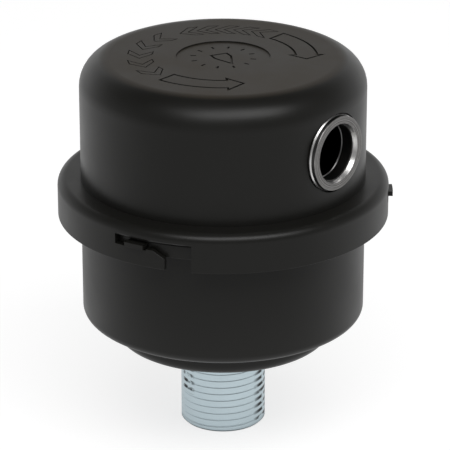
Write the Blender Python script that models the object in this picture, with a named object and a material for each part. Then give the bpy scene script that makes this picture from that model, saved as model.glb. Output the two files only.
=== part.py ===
"""Intake filter with a bayonet cap, for the inlet of a small compressor or pump.

A moulded base carries a threaded outlet nipple and a soft-ended pleated element. A moulded
cap with a plated inlet eyelet in its side closes over it and locks on three lugs.

Metres, +Z up. The origin is the centre of the nipple's lower end, and +X points out of the inlet.
"""

import math

import bmesh
import bpy
from mathutils import Vector

MM = 0.001
DEGREE = math.radians(1.0)

# Clearances between pieces
CLEARANCE = 0.3 * MM
RIM_CLEARANCE = 0.4 * MM

# Housing: the cap and the base share one outer wall
HOUSING_RADIUS = 35.28 * MM
HOUSING_WALL = 2.4 * MM
BASE_FILLET = 2.0 * MM
FLOOR_THICKNESS = 2.6 * MM
ROOF_THICKNESS = 2.6 * MM
ROOF_FILLET = 7.2 * MM

# Heights, stacked up from the nipple's lower end
NIPPLE_DROP = 23.80 * MM
FOOT_HEIGHT = 6.42 * MM
BASE_WALL_HEIGHT = 26.58 * MM
FLANGE_HEIGHT = 9.59 * MM
CAP_HEIGHT = 30.57 * MM

# Foot: the deep pocket under the base, which holds the element's lower end
FOOT_WALL = 2.52 * MM
FOOT_EDGE = 2.2 * MM

# Cap flange, whose skirt hangs over the rim of the base
FLANGE_OVERHANG = 5.78 * MM
FLANGE_EDGE = 2.16 * MM
SKIRT_WALL = 1.3 * MM
SPIGOT_WALL = 1.5 * MM
SPIGOT_LENGTH = 4.3 * MM
SMALL_FILLET = 0.5 * MM

# Bayonet: angles are counted from a lug's centre, anticlockwise from above
LUG_COUNT = 3
FIRST_LUG = -80.4 * DEGREE
LUG_ARC = 7.0 * DEGREE
LUG_THICKNESS = 1.2 * MM
LUG_PROUD = 1.05 * MM
LUG_SINK = 0.35 * MM
TURN_ANGLE = 15.3 * DEGREE
PRESS_TRAVEL = 0.5 * MM
LUG_END_GAP = 0.45 * DEGREE
ENTRY_GAP = 1.1 * DEGREE
SEAT_PLAY = 4.45 * DEGREE
HOOK_ARC = 2.4 * DEGREE
SEAT_HEIGHT = 4.2 * MM
SEAT_GAP = 0.35 * MM
HOOK_HEIGHT = 0.3 * MM
RAMP_DROP = 1.5 * MM
SLOT_BRIDGE = 0.3 * MM

# Rim of the base, with the groove for the flat gasket
RIM_THICKNESS = 3.5 * MM
GROOVE_DEPTH = 1.7 * MM
GROOVE_INNER_LIP = 1.3 * MM
GROOVE_OUTER_LIP = 0.8 * MM

# Inlet port and its plated eyelet
PORT_RISE = 14.01 * MM
EYELET_PROUD = 0.72 * MM
EYELET_BORE = 6.9 * MM
EYELET_WALL = 0.55 * MM
EYELET_RIM = 2.05 * MM
EYELET_FLANGE = 1.6 * MM
EYELET_MOUTH = 0.25 * MM
FLARE_RIM = 1.2 * MM
FLARE_THICKNESS = 0.6 * MM
PORT_PAD_MARGIN = 0.7 * MM

# Shallow round panel in the cap's top
PANEL_RADIUS = 11.5 * MM
PANEL_DEPTH = 0.5 * MM

# Stiffening gussets inside the cap and the base
GUSSET_COUNT = 6
GUSSET_THICKNESS = 1.4 * MM
GUSSET_HEIGHT = 6.0 * MM
LOCATING_RING_WALL = 1.5 * MM
LOCATING_RING_DEPTH = 4.8 * MM

# Outlet nipple: half inch pipe, 21.34 mm over the thread
NIPPLE_RADIUS = 21.34 / 2 * MM
NIPPLE_WALL = 2.77 * MM
NIPPLE_TIP = 0.5 * MM
NIPPLE_STUB = 1.6 * MM
COLLAR_STEP = 2.53 * MM
COLLAR_THICKNESS = 2.3 * MM

# Rubber seal, washer and lock nut that clamp the nipple to the floor
SEAL_THICKNESS = 1.2 * MM
WASHER_THICKNESS = 1.4 * MM
WASHER_WIDTH = 3.63 * MM
NUT_THICKNESS = 4.5 * MM
NUT_WALL = 1.73 * MM
NUT_CHAMFER = 0.8 * MM

# Filter element, built outwards from the room round the lock nut
NUT_ROOM = 0.485 * MM
END_CAP_HEIGHT = 4.8 * MM
END_CAP_OUTER_WALL = 0.9 * MM
END_CAP_INNER_WALL = 0.8 * MM
END_CAP_CHANNEL = 2.4 * MM
END_CAP_DISH = 1.9 * MM
END_CAP_DISH_RADIUS = 13.0 * MM
SEAL_BEAD = 0.8 * MM
SCREEN_THICKNESS = 0.4 * MM
PLEAT_DEPTH = 5.4 * MM
PLEAT_COUNT = 36
PAPER_THICKNESS = 0.5 * MM
FOLD_WIDTH = 0.5 * MM
CORE_THICKNESS = 0.6 * MM
CORE_BAR = 1.5 * MM
CORE_COLUMNS = 18
CORE_ROWS = 4
SCREEN_BAR = 0.8 * MM
SCREEN_COLUMNS = 16
SCREEN_ROWS = 4

# Facets round a full circle, and degrees of arc in one step of a fillet
ROUND_STEPS = 48
SMALL_ROUND_STEPS = 32
FILLET_STEP = 30.0 * DEGREE
MERGE_DISTANCE = 0.001 * MM
SHARP_ANGLE = 32.0 * DEGREE

# Heights worked out from the stack
FOOT_BOTTOM = NIPPLE_DROP
BASE_BOTTOM = FOOT_BOTTOM + FOOT_HEIGHT
SKIRT_BOTTOM = BASE_BOTTOM + BASE_WALL_HEIGHT
FLANGE_TOP = SKIRT_BOTTOM + FLANGE_HEIGHT
CAP_TOP = FLANGE_TOP + CAP_HEIGHT
CEILING = CAP_TOP - ROOF_THICKNESS
POCKET_FLOOR = FOOT_BOTTOM + FLOOR_THICKNESS
BASE_FLOOR = BASE_BOTTOM + FLOOR_THICKNESS
SEAT = SKIRT_BOTTOM + SEAT_HEIGHT
LUG_BOTTOM = SEAT + SEAT_GAP
LUG_TOP = LUG_BOTTOM + LUG_THICKNESS
RIM_TOP = LUG_TOP + LUG_SINK
RIM_BOTTOM = RIM_TOP - RIM_THICKNESS
GROOVE_FLOOR = RIM_TOP - GROOVE_DEPTH
SLOT_TOP = RIM_TOP + PRESS_TRAVEL + CLEARANCE / 3
SHOULDER = SLOT_TOP + SLOT_BRIDGE
PORT_HEIGHT = FLANGE_TOP + PORT_RISE

# Nipple and element radii, from the bore outwards
NIPPLE_BORE = NIPPLE_RADIUS - NIPPLE_WALL
NIPPLE_HOLE = NIPPLE_RADIUS + CLEARANCE
COLLAR_RADIUS = NIPPLE_RADIUS + COLLAR_STEP
WASHER_RADIUS = NIPPLE_HOLE + WASHER_WIDTH
NUT_CORNER = (NIPPLE_HOLE + NUT_WALL) / math.cos(math.pi / 6)
ELEMENT_BORE = NUT_CORNER + NUT_ROOM
CHANNEL_INNER = ELEMENT_BORE + END_CAP_INNER_WALL
CORE_OUTER = CHANNEL_INNER + CORE_THICKNESS + 1.5 * CLEARANCE
PLEAT_INNER = CORE_OUTER + CLEARANCE
PLEAT_OUTER = PLEAT_INNER + PLEAT_DEPTH
SCREEN_OUTER = PLEAT_OUTER + CLEARANCE + SCREEN_THICKNESS
CHANNEL_OUTER = SCREEN_OUTER + CLEARANCE
ELEMENT_RADIUS = CHANNEL_OUTER + END_CAP_OUTER_WALL

# Pocket and foot round the element
POCKET_RADIUS = ELEMENT_RADIUS + CLEARANCE
FOOT_RADIUS = POCKET_RADIUS + FOOT_WALL
RING_OUTER = POCKET_RADIUS + LOCATING_RING_WALL

# Radii worked out from the housing
HOUSING_INNER = HOUSING_RADIUS - HOUSING_WALL
FLANGE_RADIUS = HOUSING_RADIUS + FLANGE_OVERHANG
SKIRT_INNER = FLANGE_RADIUS - SKIRT_WALL
RIM_RADIUS = SKIRT_INNER - RIM_CLEARANCE
SPIGOT_RADIUS = HOUSING_INNER - CLEARANCE
SPIGOT_INNER = SPIGOT_RADIUS - SPIGOT_WALL
GROOVE_INNER = HOUSING_INNER + GROOVE_INNER_LIP
GROOVE_OUTER = RIM_RADIUS - GROOVE_OUTER_LIP

# Fillets, no larger than the ledges that they sit on
CEILING_FILLET = min(ROOF_FILLET - HOUSING_WALL, HOUSING_INNER - RING_OUTER)
LEDGE_FILLET = min(BASE_FILLET, HOUSING_RADIUS - FOOT_RADIUS)
FLOOR_FILLET = min(BASE_FILLET, HOUSING_INNER - POCKET_RADIUS)

# Element heights
ELEMENT_BOTTOM = POCKET_FLOOR + CLEARANCE
ELEMENT_TOP = CEILING - CLEARANCE
LOWER_CHANNEL = ELEMENT_BOTTOM + END_CAP_HEIGHT - END_CAP_CHANNEL
UPPER_CHANNEL = ELEMENT_TOP - END_CAP_HEIGHT + END_CAP_CHANNEL
MEDIA_BOTTOM = LOWER_CHANNEL + CLEARANCE
MEDIA_TOP = UPPER_CHANNEL - CLEARANCE

# Radii round the inlet axis
EYELET_TUBE = EYELET_BORE + EYELET_WALL
EYELET_RADIUS = EYELET_TUBE + EYELET_RIM
FLARE_RADIUS = EYELET_TUBE + FLARE_RIM
PORT_PAD_RADIUS = EYELET_RADIUS + PORT_PAD_MARGIN

# Places along the inlet axis; the pad's face is flush with the wall at the flare's edge
PORT_FACE = HOUSING_RADIUS + EYELET_PROUD
EYELET_REAR = PORT_FACE - EYELET_FLANGE
SPOT_FACE = EYELET_REAR - CLEARANCE
PAD_FACE = math.sqrt(HOUSING_INNER**2 - FLARE_RADIUS**2)
FLARE_FRONT = PAD_FACE - CLEARANCE
FLARE_REAR = FLARE_FRONT - FLARE_THICKNESS


def clear_scene():
    """Start from an empty scene."""
    for old in list(bpy.data.objects):
        bpy.data.objects.remove(old, do_unlink=True)


def finish(name, colour, roughness, metallic=0.0):
    """Principled material in one plain colour."""
    material = bpy.data.materials.new(name)
    material.use_nodes = True
    shader = material.node_tree.nodes["Principled BSDF"]
    shader.inputs["Base Color"].default_value = (*colour, 1.0)
    shader.inputs["Roughness"].default_value = roughness
    shader.inputs["Metallic"].default_value = metallic
    return material


def rounded(corners):
    """Closed outline through (x, y, fillet) corners, with every fillet drawn as an arc."""
    outline = []
    for index, (x, y, fillet) in enumerate(corners):
        corner = Vector((x, y))
        if fillet == 0:
            outline.append(corner)
            continue
        before = (Vector(corners[index - 1][:2]) - corner).normalized()
        after = (Vector(corners[(index + 1) % len(corners)][:2]) - corner).normalized()
        opening = before.angle(after)
        centre = corner + (before + after).normalized() * fillet / math.sin(opening / 2)
        start = corner + before * fillet / math.tan(opening / 2) - centre
        sweep = math.pi - opening
        if start.cross(before) > 0:
            sweep = -sweep
        steps = max(2, math.ceil(abs(sweep) / FILLET_STEP))
        for step in range(steps + 1):
            angle = sweep * step / steps
            turned_x = start.x * math.cos(angle) - start.y * math.sin(angle)
            turned_y = start.x * math.sin(angle) + start.y * math.cos(angle)
            outline.append(centre + Vector((turned_x, turned_y)))
    return outline


def new_object(name, form, material=None):
    """Object from a bmesh, with its normals outwards and round faces shaded smooth."""
    bmesh.ops.recalc_face_normals(form, faces=form.faces)
    mesh = bpy.data.meshes.new(name)
    form.to_mesh(mesh)
    form.free()
    mesh.shade_smooth()
    mesh.set_sharp_from_angle(angle=SHARP_ANGLE)
    made = bpy.data.objects.new(name, mesh)
    bpy.context.scene.collection.objects.link(made)
    if material:
        mesh.materials.append(material)
    return made


def turned(name, corners, material=None, base=0.0, steps=ROUND_STEPS):
    """Round piece: a (radius, height, fillet) outline spun about Z, its origin at height base."""
    form = bmesh.new()
    ring = [form.verts.new((point.x, 0, point.y - base)) for point in rounded(corners)]
    edges = []
    for here, after in zip(ring, ring[1:] + ring[:1]):
        if here.co.x > MERGE_DISTANCE or after.co.x > MERGE_DISTANCE:
            edges.append(form.edges.new((here, after)))
    bmesh.ops.spin(
        form,
        geom=ring + edges,
        cent=(0, 0, 0),
        axis=(0, 0, 1),
        angle=2 * math.pi,
        steps=steps,
        use_merge=True,
    )
    bmesh.ops.remove_doubles(form, verts=form.verts, dist=MERGE_DISTANCE)
    made = new_object(name, form, material)
    made.location.z = base
    return made


def strip(start, end, height):
    """Points at one height from one angle to another, close enough to follow the curve."""
    count = max(1, math.ceil(abs(end - start) / (2 * math.pi / ROUND_STEPS)))
    return [(start + (end - start) * step / count, height) for step in range(count + 1)]


def bent_block(name, outline, inner, outer, turn, base):
    """Block whose side view is an outline in (angle, height), bent round Z between two radii."""
    form = bmesh.new()
    ring = []
    for angle, height in outline:
        across = inner * math.cos(angle + turn)
        along = inner * math.sin(angle + turn)
        ring.append(form.verts.new((across, along, height - base)))
    face = form.faces.new(ring)
    grown = bmesh.ops.extrude_face_region(form, geom=[face])["geom"]
    for vert in (item for item in grown if isinstance(item, bmesh.types.BMVert)):
        vert.co.x *= outer / inner
        vert.co.y *= outer / inner
    made = new_object(name, form)
    made.location.z = base
    return made


def plate(name, outline, thickness, turn):
    """Upright plate with a side view in (radius, height), centred on a plane through Z."""
    form = bmesh.new()
    ring = [form.verts.new((radius, -thickness / 2, height)) for radius, height in outline]
    face = form.faces.new(ring)
    grown = bmesh.ops.extrude_face_region(form, geom=[face])["geom"]
    new_verts = [item for item in grown if isinstance(item, bmesh.types.BMVert)]
    bmesh.ops.translate(form, verts=new_verts, vec=(0, thickness, 0))
    made = new_object(name, form)
    made.rotation_euler.z = turn
    return made


def combine(target, tool, operation):
    """Boolean on the target; the tool stays in the file as a hidden wire."""
    modifier = target.modifiers.new(tool.name, "BOOLEAN")
    modifier.operation = operation
    modifier.solver = "EXACT"
    modifier.object = tool
    tool.hide_render = True
    tool.display_type = "WIRE"
    tool.parent = target
    tool.location -= target.location


def along_inlet(made, distance):
    """Turn a round piece's axis to +X, and put its origin on the inlet axis."""
    made.rotation_euler.y = math.pi / 2
    made.location = (distance, 0, PORT_HEIGHT)


def cylinder(name, radius, length, steps=SMALL_ROUND_STEPS):
    """Plain round bar that stands on its origin."""
    corners = [(0, length, 0), (radius, length, 0), (radius, 0, 0), (0, 0, 0)]
    return turned(name, corners, steps=steps)


def slot_outline():
    """Side view of one bayonet slot: seat, hook, ramp and the entry below it."""
    seat_start = -LUG_ARC / 2 - LUG_END_GAP - SEAT_PLAY
    seat_end = LUG_ARC / 2 + LUG_END_GAP
    hook_end = seat_end + HOOK_ARC
    entry_start = TURN_ANGLE - LUG_ARC / 2 - ENTRY_GAP
    entry_end = TURN_ANGLE + LUG_ARC / 2 + ENTRY_GAP
    below = SKIRT_BOTTOM - SKIRT_WALL
    outline = strip(seat_start, seat_end, SEAT)
    outline += strip(seat_end, hook_end, SEAT + HOOK_HEIGHT)
    outline += [(entry_start, SEAT - RAMP_DROP)]
    outline += strip(entry_start, entry_end, below)
    outline += strip(entry_end, seat_start, SLOT_TOP)
    return outline


def cap_shell(material):
    """Moulded cap: domed edge, flange and skirt, spigot, locating ring, port and slots."""
    ledge = HOUSING_INNER - SPIGOT_INNER
    ring_bottom = CEILING - LOCATING_RING_DEPTH
    corners = [
        (0, CAP_TOP, 0),
        (HOUSING_RADIUS, CAP_TOP, ROOF_FILLET),
        (HOUSING_RADIUS, FLANGE_TOP, SMALL_FILLET),
        (FLANGE_RADIUS, FLANGE_TOP, FLANGE_EDGE),
        (FLANGE_RADIUS, SKIRT_BOTTOM, SMALL_FILLET),
        (SKIRT_INNER, SKIRT_BOTTOM, 0),
        (SKIRT_INNER, SHOULDER, 0),
        (SPIGOT_RADIUS, SHOULDER, 0),
        (SPIGOT_RADIUS, SHOULDER - SPIGOT_LENGTH, SMALL_FILLET),
        (SPIGOT_INNER, SHOULDER - SPIGOT_LENGTH, 0),
        (SPIGOT_INNER, FLANGE_TOP, 0),
        (HOUSING_INNER, FLANGE_TOP + ledge, 0),
        (HOUSING_INNER, CEILING, CEILING_FILLET),
        (RING_OUTER, CEILING, 0),
        (RING_OUTER, ring_bottom, 0),
        (POCKET_RADIUS, ring_bottom, 0),
        (POCKET_RADIUS, CEILING, 0),
        (0, CEILING, 0),
    ]
    cap = turned("cap_shell", corners, material, base=SKIRT_BOTTOM)

    panel = cylinder("top_panel", PANEL_RADIUS, ROOF_THICKNESS)
    panel.location.z = CAP_TOP - PANEL_DEPTH
    combine(cap, panel, "DIFFERENCE")

    slot_inner = (SKIRT_INNER + SPIGOT_RADIUS) / 2
    slot_outer = FLANGE_RADIUS + FLANGE_OVERHANG
    for index in range(LUG_COUNT):
        turn = FIRST_LUG + 2 * math.pi * index / LUG_COUNT
        name = f"bayonet_slot_{index + 1}"
        slot = bent_block(name, slot_outline(), slot_inner, slot_outer, turn, SKIRT_BOTTOM)
        combine(cap, slot, "DIFFERENCE")

    pad_length = (HOUSING_INNER + HOUSING_RADIUS) / 2 - HOUSING_WALL / 4 - PAD_FACE
    pad = cylinder("port_pad", PORT_PAD_RADIUS, pad_length)
    along_inlet(pad, PAD_FACE)
    combine(cap, pad, "UNION")
    for gusset in cap_gussets():
        combine(cap, gusset, "UNION")

    bore_start = HOUSING_INNER - FLANGE_OVERHANG
    cut_length = 2 * FLANGE_OVERHANG
    port_cut = [
        (0, cut_length, 0),
        (EYELET_RADIUS + CLEARANCE, cut_length, 0),
        (EYELET_RADIUS + CLEARANCE, SPOT_FACE - bore_start, 0),
        (EYELET_TUBE + CLEARANCE, SPOT_FACE - bore_start, 0),
        (EYELET_TUBE + CLEARANCE, 0, 0),
        (0, 0, 0),
    ]
    port = turned("port_cut", port_cut, steps=SMALL_ROUND_STEPS)
    along_inlet(port, bore_start)
    combine(cap, port, "DIFFERENCE")
    return cap


def cap_gussets():
    """Plates that tie the locating ring to the cap's roof and wall."""
    made = []
    for index in range(GUSSET_COUNT):
        turn = 2 * math.pi * (index + 0.5) / GUSSET_COUNT
        inner = RING_OUTER - LOCATING_RING_WALL / 2
        outer = HOUSING_INNER + HOUSING_WALL / 4
        above = CEILING + ROOF_THICKNESS / 4
        corner_cut = CEILING_FILLET / 2
        outline = [
            (inner, above),
            (outer - corner_cut, above),
            (outer, above - corner_cut),
            (outer, CEILING - GUSSET_HEIGHT),
            (inner, CEILING - LOCATING_RING_DEPTH / 2),
        ]
        made.append(plate(f"cap_gusset_{index + 1}", outline, GUSSET_THICKNESS, turn))
    return made


def base_gussets():
    """Plates that tie the base's wall to its floor."""
    made = []
    for index in range(GUSSET_COUNT):
        turn = 2 * math.pi * (index + 0.5) / GUSSET_COUNT
        inner = RING_OUTER
        outer = HOUSING_INNER + HOUSING_WALL / 4
        below = BASE_FLOOR - FLOOR_THICKNESS / 4
        outline = [
            (inner, below),
            (outer, below),
            (outer, BASE_FLOOR + GUSSET_HEIGHT),
            (inner, BASE_FLOOR + SMALL_FILLET),
        ]
        made.append(plate(f"base_gusset_{index + 1}", outline, GUSSET_THICKNESS, turn))
    return made


def base_shell(material):
    """Moulded base: cup with a grooved rim, three lugs, and a deep foot round the nipple."""
    corners = [
        (HOUSING_INNER, RIM_TOP, 0),
        (GROOVE_INNER, RIM_TOP, 0),
        (GROOVE_INNER, GROOVE_FLOOR, 0),
        (GROOVE_OUTER, GROOVE_FLOOR, 0),
        (GROOVE_OUTER, RIM_TOP, 0),
        (RIM_RADIUS, RIM_TOP, 0),
        (RIM_RADIUS, RIM_BOTTOM, 0),
        (HOUSING_RADIUS, RIM_BOTTOM, 0),
        (HOUSING_RADIUS, BASE_BOTTOM, LEDGE_FILLET),
        (FOOT_RADIUS, BASE_BOTTOM, 0),
        (FOOT_RADIUS, FOOT_BOTTOM, FOOT_EDGE),
        (NIPPLE_HOLE, FOOT_BOTTOM, 0),
        (NIPPLE_HOLE, POCKET_FLOOR, 0),
        (POCKET_RADIUS, POCKET_FLOOR, 0),
        (POCKET_RADIUS, BASE_FLOOR, 0),
        (HOUSING_INNER, BASE_FLOOR, FLOOR_FILLET),
    ]
    base = turned("base_shell", corners, material, base=FOOT_BOTTOM)
    for gusset in base_gussets():
        combine(base, gusset, "UNION")
    lug_inner = RIM_RADIUS - GROOVE_OUTER_LIP / 2
    lug_outer = FLANGE_RADIUS + LUG_PROUD
    outline = strip(-LUG_ARC / 2, LUG_ARC / 2, LUG_BOTTOM)
    outline += strip(LUG_ARC / 2, -LUG_ARC / 2, LUG_TOP)
    for index in range(LUG_COUNT):
        turn = FIRST_LUG + 2 * math.pi * index / LUG_COUNT
        lug = bent_block(f"lug_{index + 1}", outline, lug_inner, lug_outer, turn, FOOT_BOTTOM)
        combine(base, lug, "UNION")
    return base


def cap_gasket(material):
    """Flat ring in the rim's groove, which the cap's shoulder presses on."""
    inner = GROOVE_INNER + CLEARANCE
    outer = GROOVE_OUTER - CLEARANCE
    bottom = GROOVE_FLOOR + CLEARANCE
    top = SHOULDER - CLEARANCE
    corners = [(outer, top, 0), (outer, bottom, 0), (inner, bottom, 0), (inner, top, 0)]
    return turned("cap_gasket", corners, material, base=bottom)


def inlet_eyelet(material):
    """Plated eyelet: a rolled flange outside, a short tube, and an edge flared inside the wall."""
    flange_front = 0.0
    flange_rear = EYELET_REAR - PORT_FACE
    flare_front = FLARE_FRONT - PORT_FACE
    flare_rear = FLARE_REAR - PORT_FACE
    roll = EYELET_FLANGE / 2
    corners = [
        (EYELET_BORE + EYELET_MOUTH, flange_front, 0),
        (EYELET_RADIUS, flange_front, roll),
        (EYELET_RADIUS, flange_rear, 0),
        (EYELET_TUBE, flange_rear, 0),
        (EYELET_TUBE, flare_front, 0),
        (FLARE_RADIUS, flare_front, 0),
        (FLARE_RADIUS, flare_rear, 0),
        (EYELET_TUBE, flare_rear, 0),
        (EYELET_BORE, flare_front, 0),
        (EYELET_BORE, flange_front - EYELET_MOUTH, 0),
    ]
    eyelet = turned("inlet_eyelet", corners, material, steps=SMALL_ROUND_STEPS)
    along_inlet(eyelet, PORT_FACE)
    return eyelet


def nipple_stack():
    """Heights of the seal, the washer, the nut and the nipple's top, from the pocket's floor up."""
    seal = POCKET_FLOOR + CLEARANCE
    washer = seal + SEAL_THICKNESS + CLEARANCE
    nut = washer + WASHER_THICKNESS + CLEARANCE
    top = nut + NUT_THICKNESS + NIPPLE_STUB
    return seal, washer, nut, top


def outlet_nipple(material):
    """Pipe nipple with a collar under the foot; its plain outside is the thread's crest."""
    top = nipple_stack()[-1]
    collar_top = FOOT_BOTTOM - CLEARANCE
    collar_bottom = collar_top - COLLAR_THICKNESS
    crest = NIPPLE_RADIUS - NIPPLE_TIP
    corners = [
        (crest, top, 0),
        (NIPPLE_RADIUS, top - NIPPLE_TIP, 0),
        (NIPPLE_RADIUS, collar_top, 0),
        (COLLAR_RADIUS, collar_top, 0),
        (COLLAR_RADIUS, collar_bottom, 0),
        (NIPPLE_RADIUS, collar_bottom, 0),
        (NIPPLE_RADIUS, NIPPLE_TIP, 0),
        (crest, 0, 0),
        (NIPPLE_BORE, 0, 0),
        (NIPPLE_BORE, top, 0),
    ]
    return turned("outlet_nipple", corners, material, steps=SMALL_ROUND_STEPS)


def flat_ring(name, outer, bottom, thickness, material):
    """Flat ring round the nipple."""
    top = bottom + thickness
    corners = [(outer, top, 0), (outer, bottom, 0), (NIPPLE_HOLE, bottom, 0), (NIPPLE_HOLE, top, 0)]
    return turned(name, corners, material, base=bottom, steps=SMALL_ROUND_STEPS)


def lock_nut(material):
    """Hexagon nut on the nipple's inner end, its corners chamfered by a turned blank."""
    bottom = nipple_stack()[2]
    chamfered = NUT_CORNER - NUT_CHAMFER
    drop = NUT_CHAMFER / 2
    top = bottom + NUT_THICKNESS
    blank = [
        (chamfered, top, 0),
        (NUT_CORNER + CLEARANCE, top - drop, 0),
        (NUT_CORNER + CLEARANCE, bottom + drop, 0),
        (chamfered, bottom, 0),
        (NIPPLE_HOLE, bottom, 0),
        (NIPPLE_HOLE, top, 0),
    ]
    nut = turned("lock_nut", blank, material, base=bottom, steps=SMALL_ROUND_STEPS)
    margin = NUT_THICKNESS / 2
    hexagon = cylinder("nut_hexagon", NUT_CORNER, NUT_THICKNESS + 2 * margin, steps=6)
    hexagon.location.z = bottom - margin
    combine(nut, hexagon, "INTERSECT")
    return nut


def element_lower_cap(material):
    """Soft ring on the element's lower end, with a channel above and a seal bead below."""
    top = ELEMENT_BOTTOM + END_CAP_HEIGHT
    middle = (ELEMENT_RADIUS + ELEMENT_BORE) / 2
    groove = (ELEMENT_RADIUS - ELEMENT_BORE) / 5
    corners = [
        (ELEMENT_RADIUS, top, 0),
        (ELEMENT_RADIUS, ELEMENT_BOTTOM, SEAL_BEAD),
        (middle + groove, ELEMENT_BOTTOM, 0),
        (middle + groove - SEAL_BEAD, ELEMENT_BOTTOM + SEAL_BEAD, 0),
        (middle - groove + SEAL_BEAD, ELEMENT_BOTTOM + SEAL_BEAD, 0),
        (middle - groove, ELEMENT_BOTTOM, 0),
        (ELEMENT_BORE, ELEMENT_BOTTOM, SEAL_BEAD),
        (ELEMENT_BORE, top, 0),
        (CHANNEL_INNER, top, 0),
        (CHANNEL_INNER, LOWER_CHANNEL, 0),
        (CHANNEL_OUTER, LOWER_CHANNEL, 0),
        (CHANNEL_OUTER, top, 0),
    ]
    steps = SMALL_ROUND_STEPS
    return turned("element_lower_cap", corners, material, base=ELEMENT_BOTTOM, steps=steps)


def element_upper_cap(material):
    """Soft closed disc on the element's upper end, with a dished top and a channel below."""
    bottom = ELEMENT_TOP - END_CAP_HEIGHT
    dish = ELEMENT_TOP - END_CAP_DISH
    dish_floor = dish - END_CAP_DISH
    corners = [
        (0, dish, 0),
        (END_CAP_DISH_RADIUS, dish, 0),
        (END_CAP_DISH_RADIUS + END_CAP_DISH, ELEMENT_TOP, 0),
        (ELEMENT_RADIUS, ELEMENT_TOP, SEAL_BEAD),
        (ELEMENT_RADIUS, bottom, 0),
        (CHANNEL_OUTER, bottom, 0),
        (CHANNEL_OUTER, UPPER_CHANNEL, 0),
        (CHANNEL_INNER, UPPER_CHANNEL, 0),
        (CHANNEL_INNER, bottom, 0),
        (ELEMENT_BORE, bottom, 0),
        (ELEMENT_BORE, dish_floor, 0),
        (0, dish_floor, 0),
    ]
    steps = SMALL_ROUND_STEPS
    return turned("element_upper_cap", corners, material, base=bottom, steps=steps)


def thicken(made, thickness):
    """Give a sheet its thickness, half on each side, with closed edges."""
    solidify = made.modifiers.new("thickness", "SOLIDIFY")
    solidify.thickness = thickness
    solidify.offset = 0.0
    solidify.use_even_offset = True
    solidify.use_rim = True


def pleated_media(material):
    """Paper folded into a closed ring of pleats with narrow flat folds."""
    form = bmesh.new()
    outer = PLEAT_OUTER - PAPER_THICKNESS / 2
    inner = PLEAT_INNER + PAPER_THICKNESS / 2
    pitch = 2 * math.pi / PLEAT_COUNT
    foot = []
    for pleat in range(PLEAT_COUNT):
        for radius, middle in ((outer, pleat * pitch), (inner, (pleat + 0.5) * pitch)):
            half_fold = FOLD_WIDTH / 2 / radius
            for angle in (middle - half_fold, middle + half_fold):
                place = (radius * math.cos(angle), radius * math.sin(angle), 0)
                foot.append(form.verts.new(place))
    edges = [form.edges.new(pair) for pair in zip(foot, foot[1:] + foot[:1])]
    grown = bmesh.ops.extrude_edge_only(form, edges=edges)["geom"]
    new_verts = [item for item in grown if isinstance(item, bmesh.types.BMVert)]
    bmesh.ops.translate(form, verts=new_verts, vec=(0, 0, MEDIA_TOP - MEDIA_BOTTOM))
    media = new_object("pleated_media", form, material)
    media.location.z = MEDIA_BOTTOM
    thicken(media, PAPER_THICKNESS)
    return media


def open_cage(name, cells, bar, thickness, material):
    """Tube of open cells: each cell, four points on the tube, is inset by half a bar and opened."""
    form = bmesh.new()
    for cell in cells:
        form.faces.new([form.verts.new(point) for point in cell])
    bmesh.ops.remove_doubles(form, verts=form.verts, dist=MERGE_DISTANCE)
    bmesh.ops.recalc_face_normals(form, faces=form.faces)
    openings = list(form.faces)
    bmesh.ops.inset_individual(form, faces=openings, thickness=bar / 2, use_even_offset=True)
    bmesh.ops.delete(form, geom=openings, context="FACES")
    cage = new_object(name, form, material)
    cage.location.z = MEDIA_BOTTOM
    thicken(cage, thickness)
    return cage


def on_tube(radius, angle, height):
    """Point on a tube about Z."""
    return (radius * math.cos(angle), radius * math.sin(angle), height)


def element_core(material):
    """Moulded inner cage with tall windows, which keeps the pleats from closing inwards."""
    radius = CORE_OUTER - CORE_THICKNESS / 2
    pitch = 2 * math.pi / CORE_COLUMNS
    rise = (MEDIA_TOP - MEDIA_BOTTOM) / CORE_ROWS
    cells = []
    for column in range(CORE_COLUMNS):
        left = column * pitch
        right = left + pitch
        for row in range(CORE_ROWS):
            low = row * rise
            high = low + rise
            cells.append(
                (
                    on_tube(radius, left, low),
                    on_tube(radius, right, low),
                    on_tube(radius, right, high),
                    on_tube(radius, left, high),
                )
            )
    return open_cage("element_core", cells, CORE_BAR, CORE_THICKNESS, material)


def element_screen(material):
    """Expanded metal guard round the pleats, with rows of diamond openings."""
    radius = SCREEN_OUTER - SCREEN_THICKNESS / 2
    half_pitch = math.pi / SCREEN_COLUMNS
    half_rise = (MEDIA_TOP - MEDIA_BOTTOM) / (SCREEN_ROWS + 1)
    cells = []
    for row in range(SCREEN_ROWS):
        low = row * half_rise
        for column in range(SCREEN_COLUMNS):
            middle = (2 * column + row % 2) * half_pitch
            cells.append(
                (
                    on_tube(radius, middle, low),
                    on_tube(radius, middle + half_pitch, low + half_rise),
                    on_tube(radius, middle, low + 2 * half_rise),
                    on_tube(radius, middle - half_pitch, low + half_rise),
                )
            )
    return open_cage("element_screen", cells, SCREEN_BAR, SCREEN_THICKNESS, material)


def pivot(name, height, parent=None):
    """Empty on the housing's axis that carries one moving group."""
    made = bpy.data.objects.new(name, None)
    made.empty_display_size = HOUSING_RADIUS
    made.location.z = height
    bpy.context.scene.collection.objects.link(made)
    if parent:
        carry(parent, [made])
    return made


def carry(parent, children):
    """Parent pieces to a pivot and keep them where they are."""
    lift = parent.location.copy()
    if parent.parent:
        lift += parent.parent.location
    for child in children:
        child.parent = parent
        child.location -= lift


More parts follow.
